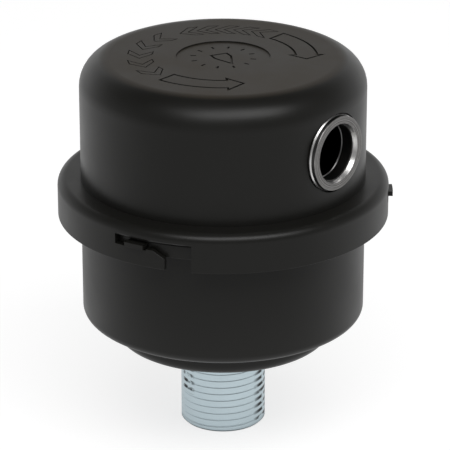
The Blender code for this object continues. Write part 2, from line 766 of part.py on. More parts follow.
def build():
    """Make every piece and hang the moving groups on their pivots."""
    clear_scene()
    black_plastic = finish("black_plastic", (0.022, 0.022, 0.021), 0.5)
    base_plastic = finish("base_plastic", (0.022, 0.022, 0.021), 0.5)
    bright_plate = finish("bright_plate", (0.55, 0.56, 0.57), 0.25, 1.0)
    zinc_plate = finish("zinc_plate", (0.42, 0.50, 0.54), 0.35, 1.0)
    washer_steel = finish("washer_steel", (0.45, 0.46, 0.47), 0.4, 1.0)
    nut_steel = finish("nut_steel", (0.40, 0.43, 0.45), 0.4, 1.0)
    gasket_rubber = finish("gasket_rubber", (0.03, 0.03, 0.03), 0.8)
    seal_rubber = finish("seal_rubber", (0.02, 0.02, 0.02), 0.85)
    upper_urethane = finish("upper_urethane", (0.10, 0.02, 0.02), 0.6)
    lower_urethane = finish("lower_urethane", (0.10, 0.02, 0.02), 0.6)
    filter_paper = finish("filter_paper", (0.09, 0.068, 0.045), 0.95)
    core_plastic = finish("core_plastic", (0.05, 0.05, 0.05), 0.5)
    coated_steel = finish("coated_steel", (0.03, 0.03, 0.03), 0.5)

    seal_height, washer_height = nipple_stack()[:2]
    base_shell(base_plastic)
    outlet_nipple(zinc_plate)
    flat_ring("nipple_seal", WASHER_RADIUS, seal_height, SEAL_THICKNESS, seal_rubber)
    flat_ring("nipple_washer", WASHER_RADIUS, washer_height, WASHER_THICKNESS, washer_steel)
    lock_nut(nut_steel)
    cap_gasket(gasket_rubber)
    element_lower_cap(lower_urethane)

    element_parts = [
        element_upper_cap(upper_urethane),
        pleated_media(filter_paper),
        element_core(core_plastic),
        element_screen(coated_steel),
    ]
    cap_parts = [cap_shell(black_plastic), inlet_eyelet(bright_plate)]
    press_pivot = pivot("press_pivot", ELEMENT_BOTTOM)
    turn_pivot = pivot("turn_pivot", RIM_TOP, press_pivot)
    carry(press_pivot, element_parts)
    carry(turn_pivot, cap_parts)


build()
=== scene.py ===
"""Finishes and fine shapes of a bayonet intake filter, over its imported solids.

Laid out as an add-on and run as a script. Metres, +Z up, the frame's own places throughout.
"""

import math

import bmesh
import bpy
from bpy.props import FloatProperty, FloatVectorProperty, IntProperty, PointerProperty
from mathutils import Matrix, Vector


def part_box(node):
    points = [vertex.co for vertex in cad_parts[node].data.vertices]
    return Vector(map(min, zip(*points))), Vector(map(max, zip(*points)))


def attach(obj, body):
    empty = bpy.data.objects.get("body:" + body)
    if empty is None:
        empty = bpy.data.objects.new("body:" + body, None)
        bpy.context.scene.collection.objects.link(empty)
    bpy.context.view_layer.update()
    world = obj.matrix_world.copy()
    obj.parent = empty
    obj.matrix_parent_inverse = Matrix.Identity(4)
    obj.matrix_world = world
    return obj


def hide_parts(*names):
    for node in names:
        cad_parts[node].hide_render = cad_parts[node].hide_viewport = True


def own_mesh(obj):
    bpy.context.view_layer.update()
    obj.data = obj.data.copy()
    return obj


bl_info = {
    "name": "Intake Filter",
    "version": (1, 0, 0),
    "blender": (4, 5, 0),
    "location": "View3D > Sidebar > Filter",
    "description": "Builds the shapes and finishes of a small bayonet intake filter",
    "category": "Add Mesh",
}

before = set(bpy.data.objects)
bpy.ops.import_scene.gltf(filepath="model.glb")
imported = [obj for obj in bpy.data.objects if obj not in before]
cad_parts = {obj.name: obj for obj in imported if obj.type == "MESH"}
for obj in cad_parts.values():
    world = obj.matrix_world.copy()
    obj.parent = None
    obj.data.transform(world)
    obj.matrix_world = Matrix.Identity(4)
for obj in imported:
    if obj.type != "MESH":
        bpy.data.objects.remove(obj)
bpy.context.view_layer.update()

MM = 0.001
DEGREE = math.pi / 180

# Places read from the frame
cap_low, cap_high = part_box("cap_shell")
base_low, base_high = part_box("base_shell")
eyelet_low, eyelet_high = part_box("inlet_eyelet")
nipple_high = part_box("outlet_nipple")[1]
seal_low, seal_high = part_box("nipple_seal")
washer_low, washer_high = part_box("nipple_washer")
nut_low, nut_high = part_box("lock_nut")
gasket_low, gasket_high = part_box("cap_gasket")
lower_low, lower_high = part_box("element_lower_cap")
upper_low, upper_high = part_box("element_upper_cap")
media_low, media_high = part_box("pleated_media")
core_low, core_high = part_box("element_core")
screen_low, screen_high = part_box("element_screen")


def length(name, description, default):
    """Length property in metres."""
    return FloatProperty(
        name=name, description=description, default=default, subtype="DISTANCE", unit="LENGTH", precision=5
    )


def angle(name, description, default):
    """Angle property, stored in radians."""
    return FloatProperty(
        name=name, description=description, default=default, subtype="ANGLE", unit="ROTATION"
    )


def count(name, description, default):
    """Whole number property."""
    return IntProperty(name=name, description=description, default=default, min=1)


def share(name, description, default):
    """Property from 0 to 1."""
    return FloatProperty(name=name, description=description, default=default, min=0, max=1, subtype="FACTOR")


def level(name, description, default):
    """Plain number property, such as a light's strength."""
    return FloatProperty(name=name, description=description, default=default, min=0)


def colour(name, description, default):
    """Linear colour property."""
    return FloatVectorProperty(
        name=name, description=description, default=default, size=3, min=0, max=1, subtype="COLOR"
    )


class HousingSettings(bpy.types.PropertyGroup):
    """Sizes of the moulded cap and base."""

    wall_radius: length("Wall radius", "Outside of the cap's and the base's wall", 35.28 * MM)
    wall: length("Wall", "Thickness of the round wall", 2.4 * MM)
    floor: length("Floor", "Thickness of the roof and the floors", 2.6 * MM)
    roof_fillet: length("Roof fillet", "Round edge of the cap's top", 7.2 * MM)
    flange_rise: length("Flange rise", "Height of the flange over the skirt's lower edge", 9.59 * MM)
    flange_edge: length("Flange edge", "Round edge of the flange", 2.16 * MM)
    skirt_wall: length("Skirt wall", "Thickness of the skirt", 1.3 * MM)
    spigot_wall: length("Spigot wall", "Thickness of the cap's inner ring", 1.5 * MM)
    spigot_length: length("Spigot length", "Reach of the cap's inner ring into the base", 4.3 * MM)
    small_fillet: length("Small fillet", "Round of the moulded corners", 0.5 * MM)
    skirt_edge: length("Skirt edge", "Round of the skirt's lower edge", 0.1 * MM)
    ring_wall: length("Ring wall", "Thickness of the ring that centres the element", 1.5 * MM)
    ring_depth: length("Ring depth", "Depth of the ring that centres the element", 4.8 * MM)
    gusset: length("Gusset", "Thickness of a gusset", 1.4 * MM)
    gusset_height: length("Gusset height", "Height of a gusset", 6.0 * MM)
    gussets: count("Gussets", "Gussets in the cap and in the base", 6)
    rim: length("Rim", "Thickness of the base's rim", 3.5 * MM)
    rim_gap: length("Rim gap", "Gap between the rim and the skirt", 0.4 * MM)
    inner_lip: length("Inner lip", "Rim inside the gasket's groove", 1.3 * MM)
    outer_lip: length("Outer lip", "Rim outside the gasket's groove", 0.8 * MM)
    rim_edge: length("Rim edge", "Round outer edge on top of the rim", 0.5 * MM)
    foot_rise: length("Foot rise", "Height of the foot under the base", 6.42 * MM)
    foot_wall: length("Foot wall", "Thickness of the foot's wall", 2.52 * MM)
    foot_edge: length("Foot edge", "Round edge under the foot", 2.2 * MM)
    base_fillet: length("Base fillet", "Round edge under the base", 2.0 * MM)
    gap: length("Gap", "Clearance between pieces that touch", 0.3 * MM)
    panel_radius: length("Panel radius", "Sunk round panel in the cap's top", 11.5 * MM)
    panel_depth: length("Panel depth", "Depth of the round panel", 0.3 * MM)


class BayonetSettings(bpy.types.PropertyGroup):
    """Lugs of the base and slots of the cap."""

    lugs: count("Lugs", "Lugs round the rim", 3)
    first: angle("First lug", "Direction of the first lug", -80.4 * DEGREE)
    arc: angle("Lug arc", "Width of a lug", 7.0 * DEGREE)
    thickness: length("Lug thickness", "Height of a lug", 1.2 * MM)
    sink: length("Lug sink", "Height of the rim over a lug", 0.35 * MM)
    proud: length("Lug proud", "How far a lug stands out of the flange", 1.05 * MM)
    seat: length("Seat", "Height of the slot's seat over the skirt's edge", 4.2 * MM)
    end_gap: angle("End gap", "Gap between the locked lug and the hook", 0.45 * DEGREE)
    play: angle("Seat play", "Free seat behind the locked lug", 4.45 * DEGREE)
    hook_arc: angle("Hook arc", "Width of the hook", 2.4 * DEGREE)
    hook_height: length("Hook height", "Height of the hook over the seat", 0.3 * MM)
    ramp_drop: length("Ramp drop", "Fall of the ramp to the entry", 1.5 * MM)
    turn: angle("Turn", "Turn from locked to the entry", 15.3 * DEGREE)
    entry_gap: angle("Entry gap", "Gap on each side of a lug in the entry", 1.1 * DEGREE)
    bridge: length("Bridge", "Skirt left over the slot, under the shoulder", 0.3 * MM)
    chamfer: length("Chamfer", "Worn edge round a lug", 0.05 * MM)
    slot_edge: length("Slot edge", "Worn edge round a slot", 0.012 * MM)
    slot_lip: length("Slot lip", "Height of the bevel over a slot", 0.34 * MM)


class PortSettings(bpy.types.PropertyGroup):
    """Plated inlet eyelet and the port that it is swaged into."""

    bore: length("Bore", "Radius of the eyelet's bore", 6.9 * MM)
    wall: length("Tube wall", "Thickness of the eyelet's tube", 0.55 * MM)
    flange: length("Flange", "Thickness of the eyelet's flange", 1.6 * MM)
    mouth: length("Mouth", "Width of the flare at the bore's mouth", 0.45 * MM)
    mouth_depth: length("Mouth depth", "Depth of the flare at the bore's mouth", 1.1 * MM)
    bead: length("Bead", "Width of the beaded rear edge of the flange", 0.62 * MM)
    lip: length("Lip", "Small bright lip at the inner end of the tube", 0.16 * MM)
    flare_rim: length("Flare rim", "Width of the flared inner edge", 1.2 * MM)
    flare: length("Flare", "Thickness of the flared inner edge", 0.6 * MM)
    pad_margin: length("Pad margin", "Pad inside the wall beyond the eyelet", 0.7 * MM)


class NippleSettings(bpy.types.PropertyGroup):
    """Threaded nipple and what clamps it."""

    radius: length("Crest radius", "Radius over the thread", 21.34 / 2 * MM)
    wall: length("Wall", "Wall from crest to bore", 2.77 * MM)
    pitch: length("Pitch", "Rise of the thread in one turn", 25.4 / 14 * MM)
    depth: length("Thread depth", "Depth of the thread", 0.085 * MM)
    runout: length("Runout", "Length over which the thread fades", 1.4 * MM)
    collar: length("Collar", "Thickness of the collar", 2.3 * MM)
    tip: length("Tip chamfer", "Chamfer at the nipple's ends", 0.5 * MM)
    nut_chamfer: length("Nut chamfer", "Chamfer at the nut's corners", 0.8 * MM)


class ElementSettings(bpy.types.PropertyGroup):
    """Pleated element between the base and the cap."""

    pleats: count("Pleats", "Folds of the paper", 72)
    paper: length("Paper", "Thickness of the paper", 0.45 * MM)
    pleat_depth: length("Pleat depth", "Depth of a fold", 5.4 * MM)
    core_columns: count("Core columns", "Bars round the core", 18)
    core_rings: count("Core rings", "Rings up the core", 5)
    core_bar: length("Core bar", "Width of the core's bars", 1.5 * MM)
    core_wall: length("Core wall", "Thickness of the core", 0.6 * MM)
    strands: count("Strands", "Strands of the guard each way", 40)
    guard_wall: length("Guard wall", "Thickness of the wound guard", 0.4 * MM)
    twist: angle("Twist", "Turn of a strand from end to end", 150 * DEGREE)
    channel: length("Channel", "Depth of the channel in a soft end", 2.4 * MM)
    outer_wall: length("Outer wall", "Soft wall outside the channel", 0.9 * MM)
    inner_wall: length("Inner wall", "Soft wall inside the channel", 0.8 * MM)
    bead: length("Bead", "Round sealing edge of a soft end", 0.8 * MM)
    dish: length("Dish", "Depth of the dish in the upper end", 1.9 * MM)
    dish_radius: length("Dish radius", "Radius of the dish in the upper end", 13.0 * MM)


class SymbolSettings(bpy.types.PropertyGroup):
    """Lines cut into the cap's top."""

    line: length("Arrow line", "Width of an arrow's outline", 0.56 * MM)
    fine_line: length("Fine line", "Width of the finer marks", 0.26 * MM)
    depth: length("Depth", "Depth of the lines", 0.45 * MM)
    middle: length("Arrow radius", "Distance of the arrows from the axis", 20.4 * MM)
    shaft: length("Shaft width", "Width of an arrow's shaft", 5.2 * MM)
    head: length("Head width", "Width of an arrow's head", 8.0 * MM)
    chevron: length("Chevron size", "Length of a chevron across its band", 6.0 * MM)
    dial: length("Dial", "Radius of the dial in the round panel", 8.2 * MM)
    ticks: count("Ticks", "Ticks round the dial", 12)
    tick: length("Tick", "Length of a tick", 1.5 * MM)


class FinishSettings(bpy.types.PropertyGroup):
    """Colours of the finishes."""

    plastic: colour("Moulded plastic", "Black of the cap and the base", (0.0094, 0.0092, 0.0080))
    plate: colour("Bright plate", "Plating of the inlet eyelet", (0.86, 0.85, 0.84))
    turned_plate: colour("Turned plate", "Dull turned face of the inlet eyelet", (0.22, 0.215, 0.21))
    zinc: colour("Zinc", "Bluish zinc of the nipple", (0.62, 0.735, 0.785))
    # Colour of the painted shade in the nipple's thread root, standing for dark reflections
    painted_thread_shade: colour("Painted_thread_shade", "Dark residue in the thread", (0.016, 0.019, 0.021))
    steel: colour("Steel", "Zinc of the washer and the nut", (0.45, 0.47, 0.48))
    gasket: colour("Gasket", "Rubber of the gasket and the seal", (0.016, 0.016, 0.016))
    urethane: colour("Urethane", "Soft ends of the element", (0.10, 0.02, 0.02))
    paper: colour("Paper", "Cured filter paper", (0.09, 0.068, 0.045))
    coated: colour("Coating", "Black coat of the guard and the core", (0.020, 0.020, 0.020))


class StudioSettings(bpy.types.PropertyGroup):
    """Camera, lights and floor."""

    azimuth: angle("Azimuth", "Camera's direction round the axis", 40 * DEGREE)
    elevation: angle("Elevation", "Camera's height over the horizon", 22.405 * DEGREE)
    distance: length("Distance", "Camera's distance from its target", 706.08 * MM)
    target_height: length("Target height", "Height that the camera looks at", 52.42 * MM)
    slide: length("Slide", "How far the camera stands to its right", 0.465 * MM)
    lens: FloatProperty(name="Lens", description="Focal length", default=226.13, unit="CAMERA")
    sky: level("Sky", "Strength of the plain surrounding light", 0.48)
    ceiling: level("Ceiling", "Mirrored strength of the ceiling", 0.03)
    front_wall: level("Front wall", "Mirrored strength of the wall behind the camera", 0.2)
    softbox: level("Softbox", "Power of the softbox over the camera, in watts", 3.3)
    softbox_turn: angle("Softbox direction", "How far it stands to the camera's right", 13 * DEGREE)
    softbox_rise: angle("Softbox height", "Height of the softbox over the horizon", 53 * DEGREE)
    floor: share("Floor", "Reflectance of the floor", 0.42)
    glow: level("Floor glow", "What lifts the floor to white for the camera", 0.72)


class FilterSettings(bpy.types.PropertyGroup):
    """All sizes, finishes and lights of the intake filter."""

    housing: PointerProperty(type=HousingSettings)
    bayonet: PointerProperty(type=BayonetSettings)
    port: PointerProperty(type=PortSettings)
    nipple: PointerProperty(type=NippleSettings)
    element: PointerProperty(type=ElementSettings)
    symbols: PointerProperty(type=SymbolSettings)
    finishes: PointerProperty(type=FinishSettings)
    studio: PointerProperty(type=StudioSettings)


# Points round a full turn, and how finely a rounded corner is stepped
ROUND_STEPS = 240
SMALL_ROUND_STEPS = 120
NIPPLE_STEPS = 160
CORE_STEPS = 72
THREAD_ROWS = 300
FILLET_STEP = 9 * DEGREE
SUPPORT = 0.12 * MM
SHARP_ANGLE = 33 * DEGREE
MERGE = 0.0005 * MM
CUTTER_REACH = 6 * MM
HAIR = 0.05 * MM


def settings():
    """The scene's own settings."""
    return bpy.context.scene.intake_filter


class Tree:
    """Short calls that build a node tree."""

    def __init__(self, tree):
        self.tree = tree

    def add(self, kind, *values, **options):
        """New node: values feed its inputs in order, Capitalised options named inputs, others its fields."""
        node = self.tree.nodes.new(kind)
        for key, value in options.items():
            if not key[0].isupper():
                setattr(node, key, value)
        for socket, value in zip(node.inputs, values):
            self.feed(socket, value)
        for key, value in options.items():
            if key[0].isupper():
                self.feed(node.inputs[key.replace("_", " ")], value)
        return node

    def feed(self, socket, value):
        """Link an output to a socket, or set the socket's own value."""
        if value is None:
            return
        if isinstance(value, bpy.types.NodeSocket):
            self.tree.links.new(value, socket)
        else:
            socket.default_value = value

    def math(self, operation, *values):
        """Output of a Math node."""
        return self.add("ShaderNodeMath", *values, operation=operation).outputs[0]

    def vector(self, operation, *values):
        """Output of a Vector Math node."""
        node = self.add("ShaderNodeVectorMath", *values, operation=operation)
        return node.outputs["Value" if operation in ("LENGTH", "DOT_PRODUCT") else "Vector"]

    def spread(self, value, low, high, start=0.0, end=1.0):
        """Map a value from one range to another."""
        return self.add("ShaderNodeMapRange", value, start, end, low, high).outputs[0]

    def ease(self, value, start, end, low=0.0, high=1.0):
        """Map a value from one range to another with soft ends."""
        node = self.add("ShaderNodeMapRange", value, start, end, low, high, interpolation_type="SMOOTHSTEP")
        return node.outputs[0]

    def product(self, first, *others):
        """Product of several values."""
        for other in others:
            first = self.math("MULTIPLY", first, other)
        return first

    def place(self):
        """Coordinates of the object."""
        return self.add("ShaderNodeTexCoord").outputs["Object"]

    def split(self, vector):
        """X, Y and Z of a vector."""
        return self.add("ShaderNodeSeparateXYZ", vector).outputs

    def flat(self, vector):
        """Vector without its height."""
        return self.vector("MULTIPLY", vector, (1.0, 1.0, 0.0))

    def scaled(self, vector, factor):
        """Vector times a factor."""
        return self.add("ShaderNodeVectorMath", vector, operation="SCALE", Scale=factor).outputs["Vector"]

    def round_place(self, radius, turn, height):
        """Position at a radius, an angle and a height."""
        x = self.product(radius, self.math("COSINE", turn))
        y = self.product(radius, self.math("SINE", turn))
        return self.add("ShaderNodeCombineXYZ", x, y, height).outputs[0]

    def noise(self, place, scale, detail, roughness=0.5):
        """Value of a Noise texture."""
        node = self.add("ShaderNodeTexNoise", place, Scale=scale, Detail=detail, Roughness=roughness)
        return node.outputs["Fac"]

    def mix(self, factor, first, second):
        """Colour between two others."""
        node = self.add("ShaderNodeMix", data_type="RGBA")
        self.feed(node.inputs[0], factor)
        for socket, shade in ((node.inputs[6], first), (node.inputs[7], second)):
            self.feed(socket, shade if isinstance(shade, bpy.types.NodeSocket) else (*shade, 1.0))
        return node.outputs[2]

    def bump(self, shader, height, strength, distance):
        """Bump on a shader's normal."""
        node = self.add("ShaderNodeBump", Height=height, Strength=strength, Distance=distance)
        self.feed(shader.inputs["Normal"], node.outputs[0])


def polar(radius, turn):
    """Point on a circle about the origin."""
    return radius * math.cos(turn), radius * math.sin(turn)


def spaced(start, end, step):
    """Values from start to end in equal steps, none longer than the given one."""
    parts = max(1, math.ceil(abs(end - start) / step))
    return [start + (end - start) * part / parts for part in range(parts + 1)]


def bridge(form, lower, upper):
    """Faces between two loops with the same number of points."""
    for index in range(len(lower)):
        following = (index + 1) % len(lower)
        form.faces.new((lower[index], lower[following], upper[following], upper[index]))


def rounded(corners):
    """Closed outline through (x, y, fillet) corners, with arcs and a close point before and after each."""
    outline = []
    for index, (x, y, fillet) in enumerate(corners):
        corner = Vector((x, y))
        if fillet == 0:
            outline.append(corner)
            continue
        before = (Vector(corners[index - 1][:2]) - corner).normalized()
        after = (Vector(corners[(index + 1) % len(corners)][:2]) - corner).normalized()
        opening = before.angle(after)
        centre = corner + (before + after).normalized() * fillet / math.sin(opening / 2)
        reach = fillet / math.tan(opening / 2)
        start = corner + before * reach - centre
        sweep = math.pi - opening
        if start.cross(before) > 0:
            sweep = -sweep
        steps = max(3, math.ceil(abs(sweep) / FILLET_STEP))
        outline.append(corner + before * (reach + SUPPORT))
        for step in range(steps + 1):
            turn = sweep * step / steps
            across = start.x * math.cos(turn) - start.y * math.sin(turn)
            along = start.x * math.sin(turn) + start.y * math.cos(turn)
            outline.append(centre + Vector((across, along)))
        outline.append(corner + after * (reach + SUPPORT))
    return outline


def new_object(name, form):
    """Object from a bmesh, with closed outward faces and smooth round surfaces."""
    bmesh.ops.remove_doubles(form, verts=form.verts, dist=MERGE)
    bmesh.ops.recalc_face_normals(form, faces=form.faces)
    mesh = bpy.data.meshes.new(name)
    form.to_mesh(mesh)
    form.free()
    smooth(mesh)
    made = bpy.data.objects.new(name, mesh)
    bpy.context.scene.collection.objects.link(made)
    return made


def smooth(mesh):
    """Smooth shading that keeps the true corners sharp."""
    mesh.shade_smooth()
    mesh.set_sharp_from_angle(angle=SHARP_ANGLE)


def turned(name, corners, steps=ROUND_STEPS):
    """Closed round piece: a (radius, height, fillet) outline turned about Z, with flat ends at the axis."""
    form = bmesh.new()
    profile = rounded(corners)
    rings = []
    for point in profile:
        if point.x < MERGE:
            rings.append(None)
            continue
        places = [polar(point.x, 2 * math.pi * step / steps) for step in range(steps)]
        rings.append([form.verts.new((*place, point.y)) for place in places])
    for lower, upper in zip(rings, rings[1:] + rings[:1]):
        if lower is None or upper is None:
            if lower or upper:
                form.faces.new(lower or upper)
            continue
        bridge(form, lower, upper)
    return new_object(name, form)


def loft(name, sections):
    """Closed solid through outlines with the same number of points, the first and last capped."""
    form = bmesh.new()
    rings = [[form.verts.new(point) for point in section] for section in sections]
    for lower, upper in zip(rings, rings[1:]):
        bridge(form, lower, upper)
    form.faces.new(rings[0])
    form.faces.new(rings[-1])
    return new_object(name, form)


def grown(outline, distance):
    """Closed outline moved outwards by a distance, with mitred corners."""
    area = sum(a[0] * b[1] - b[0] * a[1] for a, b in zip(outline, outline[1:] + outline[:1]))
    side = distance if area > 0 else -distance
    moved = []
    for index, point in enumerate(outline):
        here = Vector(point)
        before = (here - Vector(outline[index - 1])).normalized()
        after = (Vector(outline[(index + 1) % len(outline)]) - here).normalized()
        normal = Vector((before.y + after.y, -before.x - after.x)).normalized()
        stretch = max(0.4, normal.dot(Vector((before.y, -before.x))))
        moved.append(tuple(here + normal * side / stretch))
    return moved


def evaluated(target):
    """Turn an object with modifiers into a plain mesh object."""
    graph = bpy.context.evaluated_depsgraph_get()
    mesh = bpy.data.meshes.new_from_object(target.evaluated_get(graph))
    old = target.data
    target.modifiers.clear()
    target.data = mesh
    bpy.data.meshes.remove(old)
    mesh.name = target.name
    return target


def combine(target, tools, operation):
    """Exact Boolean of the target with the tools, which are used up."""
    for tool in tools:
        modifier = target.modifiers.new(tool.name, "BOOLEAN")
        modifier.operation = operation
        modifier.solver = "EXACT"
        modifier.object = tool
        evaluated(target)
        bpy.data.objects.remove(tool, do_unlink=True)
    smooth(target.data)
    return target


def joined(name, parts):
    """One object that holds the separate solids of several, which are used up."""
    form = bmesh.new()
    for part in parts:
        form.from_mesh(part.data)
        bpy.data.objects.remove(part, do_unlink=True)
    return new_object(name, form)


def along_inlet(made, distance):
    """Turn a round piece's axis to +X and move it onto the inlet axis."""
    height = (eyelet_low.z + eyelet_high.z) / 2
    for vert in made.data.vertices:
        x, y, z = vert.co
        vert.co = (z + distance, y, height - x)
    made.data.update()
    return made


def deliver(piece, body, nodes, material):
    """Give a finished piece its material, hang it on its body's empty and hide the imported parts that it
    stands for.
    """
    piece.data.materials.clear()
    piece.data.materials.append(material)
    for face in piece.data.polygons:
        face.material_index = 0
    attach(piece, body)
    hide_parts(*nodes)


def apply_nodes(target, tree, values):
    """Run a Geometry Nodes tree on an object and keep the result as its plain mesh."""
    modifier = target.modifiers.new(tree.name, "NODES")
    modifier.node_group = tree
    for item in tree.interface.items_tree:
        if item.item_type == "SOCKET" and item.name in values:
            modifier[item.identifier] = values[item.name]
    return evaluated(target)


def geometry_tree(name, numbers=(), wholes=()):
    """New Geometry Nodes tree with named inputs and a material; returns its calls and its inputs."""
    tree = bpy.data.node_groups.new(name, "GeometryNodeTree")
    tree.interface.new_socket("Geometry", in_out="INPUT", socket_type="NodeSocketGeometry")
    tree.interface.new_socket("Geometry", in_out="OUTPUT", socket_type="NodeSocketGeometry")
    kinds = [(label, "NodeSocketInt") for label in wholes] + [(label, "NodeSocketFloat") for label in numbers]
    for label, kind in [*kinds, ("Material", "NodeSocketMaterial")]:
        tree.interface.new_socket(label, in_out="INPUT", socket_type=kind)
    return Tree(tree), tree.nodes.new("NodeGroupInput").outputs


def end_tree(calls, geometry):
    """Realize the instances, set the material and end the tree."""
    real = calls.add("GeometryNodeRealizeInstances", geometry)
    entry = next(node for node in calls.tree.nodes if node.bl_idname == "NodeGroupInput")
    painted = calls.add("GeometryNodeSetMaterial", real.outputs[0], Material=entry.outputs["Material"])
    calls.add("NodeGroupOutput", painted.outputs[0])
    return calls.tree


# Warm film on upward faces: dust, with painted warm top light in its colour
DUST_AND_TOP_LIGHT = (0.075, 0.051, 0.024)
DUST_AND_TOP_LIGHT_SHARE = 0.40
DUSTY_ROUGHNESS = 0.47
MOULD_GRAIN = 2600.0
MOULD_ROUGHNESS = 0.36
PLASTIC_SPECULAR = 0.32
SOFT_SPECULAR = 0.3
BLOTCH = 0.12
FINE_RELIEF = 0.02 * MM

# Patches of painted shade in the thread, standing for dark reflections: direction, lowest height and cosine
# of the half width
PAINTED_THREAD_SHADE = (
    ((0.951, 0.309, 0.0), 1.5 * MM, 0.925),
    ((-0.292, -0.956, 0.0), 9.0 * MM, 0.965),
)

# Soft finishes: colour, roughness, grain and depth of the grain
SOFT_FINISHES = {
    "seal_rubber": ("gasket", 0.85, 900.0, 0.03 * MM),
    "gasket_rubber": ("gasket", 0.8, 1200.0, 0.02 * MM),
    "lower_urethane": ("urethane", 0.6, 700.0, 0.03 * MM),
    "upper_urethane": ("urethane", 0.6, 700.0, 0.03 * MM),
    "filter_paper": ("paper", 0.92, 1600.0, 0.05 * MM),
    "core_plastic": ("coated", 0.55, 500.0, 0.02 * MM),
    "screen_coat": ("coated", 0.5, 2400.0, 0.01 * MM),
}


def new_material(name):
    """Principled material; returns it with its tree's calls, its shader and its coordinates."""
    material = bpy.data.materials.new(name)
    material.use_nodes = True
    calls = Tree(material.node_tree)
    return material, calls, material.node_tree.nodes["Principled BSDF"], calls.place()


def moulded(name, tone, dusty=None):
    """Satin black moulding: fine grain, uneven gloss and, from a given height, a dust film on upward faces,
    with painted warm top light in its colour.
    """
    material, calls, shader, place = new_material(name)
    fine = calls.noise(place, MOULD_GRAIN, 3.0, 0.6)
    broad = calls.noise(place, 55.0, 4.0, 0.55)
    facing = calls.split(calls.add("ShaderNodeNewGeometry").outputs["Normal"])["Z"]
    upward = calls.spread(facing, 0.0, 1.0 if dusty else 0.0, 0.94, 1.0)
    upward = calls.product(upward, calls.math("GREATER_THAN", calls.split(place)["Z"], dusty or 0.0))
    black = calls.mix(broad, [channel * 0.92 for channel in tone], tone)
    # Painted warm top light, mixed in with the dust on upward faces
    dusted_and_top_lit = calls.mix(calls.product(upward, broad, DUST_AND_TOP_LIGHT_SHARE), black, DUST_AND_TOP_LIGHT)
    calls.feed(shader.inputs["Base Color"], dusted_and_top_lit)
    gloss = calls.spread(broad, MOULD_ROUGHNESS - 0.04, MOULD_ROUGHNESS + 0.05, 0.3, 0.7)
    matt = calls.product(upward, DUSTY_ROUGHNESS - MOULD_ROUGHNESS)
    calls.feed(shader.inputs["Roughness"], calls.math("ADD", gloss, matt))
    shader.inputs["Specular IOR Level"].default_value = PLASTIC_SPECULAR
    calls.bump(shader, fine, 0.35, FINE_RELIEF)
    return material


def plated(name, tone, rough):
    """Plated metal with fine marks, and blotches in tone and gloss."""
    material, calls, shader, place = new_material(name)
    cloud = calls.noise(place, 140.0, 5.0, 0.6)
    dark = [channel * (1 - BLOTCH) for channel in tone]
    calls.feed(shader.inputs["Base Color"], calls.mix(cloud, dark, tone))
    calls.feed(shader.inputs["Roughness"], calls.spread(cloud, rough - 0.06, rough + 0.08, 0.3, 0.7))
    shader.inputs["Metallic"].default_value = 1.0
    marks = calls.noise(calls.vector("MULTIPLY", place, (1.0, 1.0, 6.0)), 260.0, 3.0)
    calls.bump(shader, marks, 0.2, FINE_RELIEF)
    return material


def screw_wave(calls, place, pitch):
    """Wave from 0 to 1 and back along a right-handed screw; returns it with the place's coordinates."""
    parts = calls.split(place)
    turn = calls.math("DIVIDE", calls.math("ARCTAN2", parts["Y"], parts["X"]), 2 * math.pi)
    climb = calls.math("SUBTRACT", calls.math("DIVIDE", parts["Z"], pitch), turn)
    wave = calls.math("ABSOLUTE", calls.math("MULTIPLY_ADD", calls.math("FRACT", climb), 2.0, -1.0))
    return wave, parts


def threaded_zinc(name, tone, rough, painted_thread_shade):
    """Zinc plate with painted shade in the thread's root, in patches that stand for dark reflections."""
    material = plated(name, tone, rough)
    calls = Tree(material.node_tree)
    base_color = material.node_tree.nodes["Principled BSDF"].inputs["Base Color"]
    bright = base_color.links[0].from_socket
    place = calls.place()
    wave, parts = screw_wave(calls, place, settings().nipple.pitch)
    # Painted shade: the thread's root is darkened in broken patches on two sides, where dark reflections fall
    root = calls.spread(wave, 0.0, 1.0, 0.36, 0.62)
    outwards = calls.vector("NORMALIZE", calls.flat(place))
    cover = None
    for direction, low, edge in PAINTED_THREAD_SHADE:
        patch = calls.spread(calls.vector("DOT_PRODUCT", outwards, direction), 0.0, 1.0, edge, 0.99)
        patch = calls.product(patch, calls.math("GREATER_THAN", parts["Z"], low))
        cover = patch if cover is None else calls.math("MAXIMUM", cover, patch)
    broken = calls.spread(calls.noise(place, 420.0, 3.0), 0.0, 1.0, 0.38, 0.5)
    calls.feed(base_color, calls.mix(calls.product(root, cover, broken), bright, painted_thread_shade))
    return material


def soft(name):
    """Matt rubber, urethane, paper or coating with its own grain."""
    field, rough, grain, depth = SOFT_FINISHES[name]
    tone = getattr(settings().finishes, field)
    material, calls, shader, place = new_material(name)
    cloud = calls.noise(place, grain, 5.0, 0.65)
    dark = [channel * 0.8 for channel in tone]
    light = [min(1.0, channel * 1.15) for channel in tone]
    calls.feed(shader.inputs["Base Color"], calls.mix(cloud, dark, light))
    calls.feed(shader.inputs["Roughness"], calls.spread(cloud, rough - 0.08, rough + 0.05))
    shader.inputs["Specular IOR Level"].default_value = SOFT_SPECULAR
    calls.bump(shader, cloud, 0.4, depth)
    return material


def strip(start, end, height):
    """Points at one height from one angle to another, close enough to follow the curve."""
    return [(place, height) for place in spaced(start, end, 1.5 * DEGREE)]


def bent(name, outline, turn, sections):
    """Solid with a side view in (angle, height), bent round Z through (radius, growth) sections."""
    reference = cap_high.x
    flat = [(place * reference, height) for place, height in outline]
    form = bmesh.new()
    rings = []
    for radius, growth in sections:
        ring = [(along, height, radius) for along, height in (grown(flat, growth) if growth else flat)]
        rings.append([form.verts.new(point) for point in ring])
    for lower, upper in zip(rings, rings[1:]):
        bridge(form, lower, upper)
    form.faces.new(rings[0])
    form.faces.new(rings[-1])
    bmesh.ops.triangulate(form, faces=form.faces)
    for vert in form.verts:
        along, height, radius = vert.co
        vert.co = (*polar(radius, along / reference + turn), height)
    return new_object(name, form)


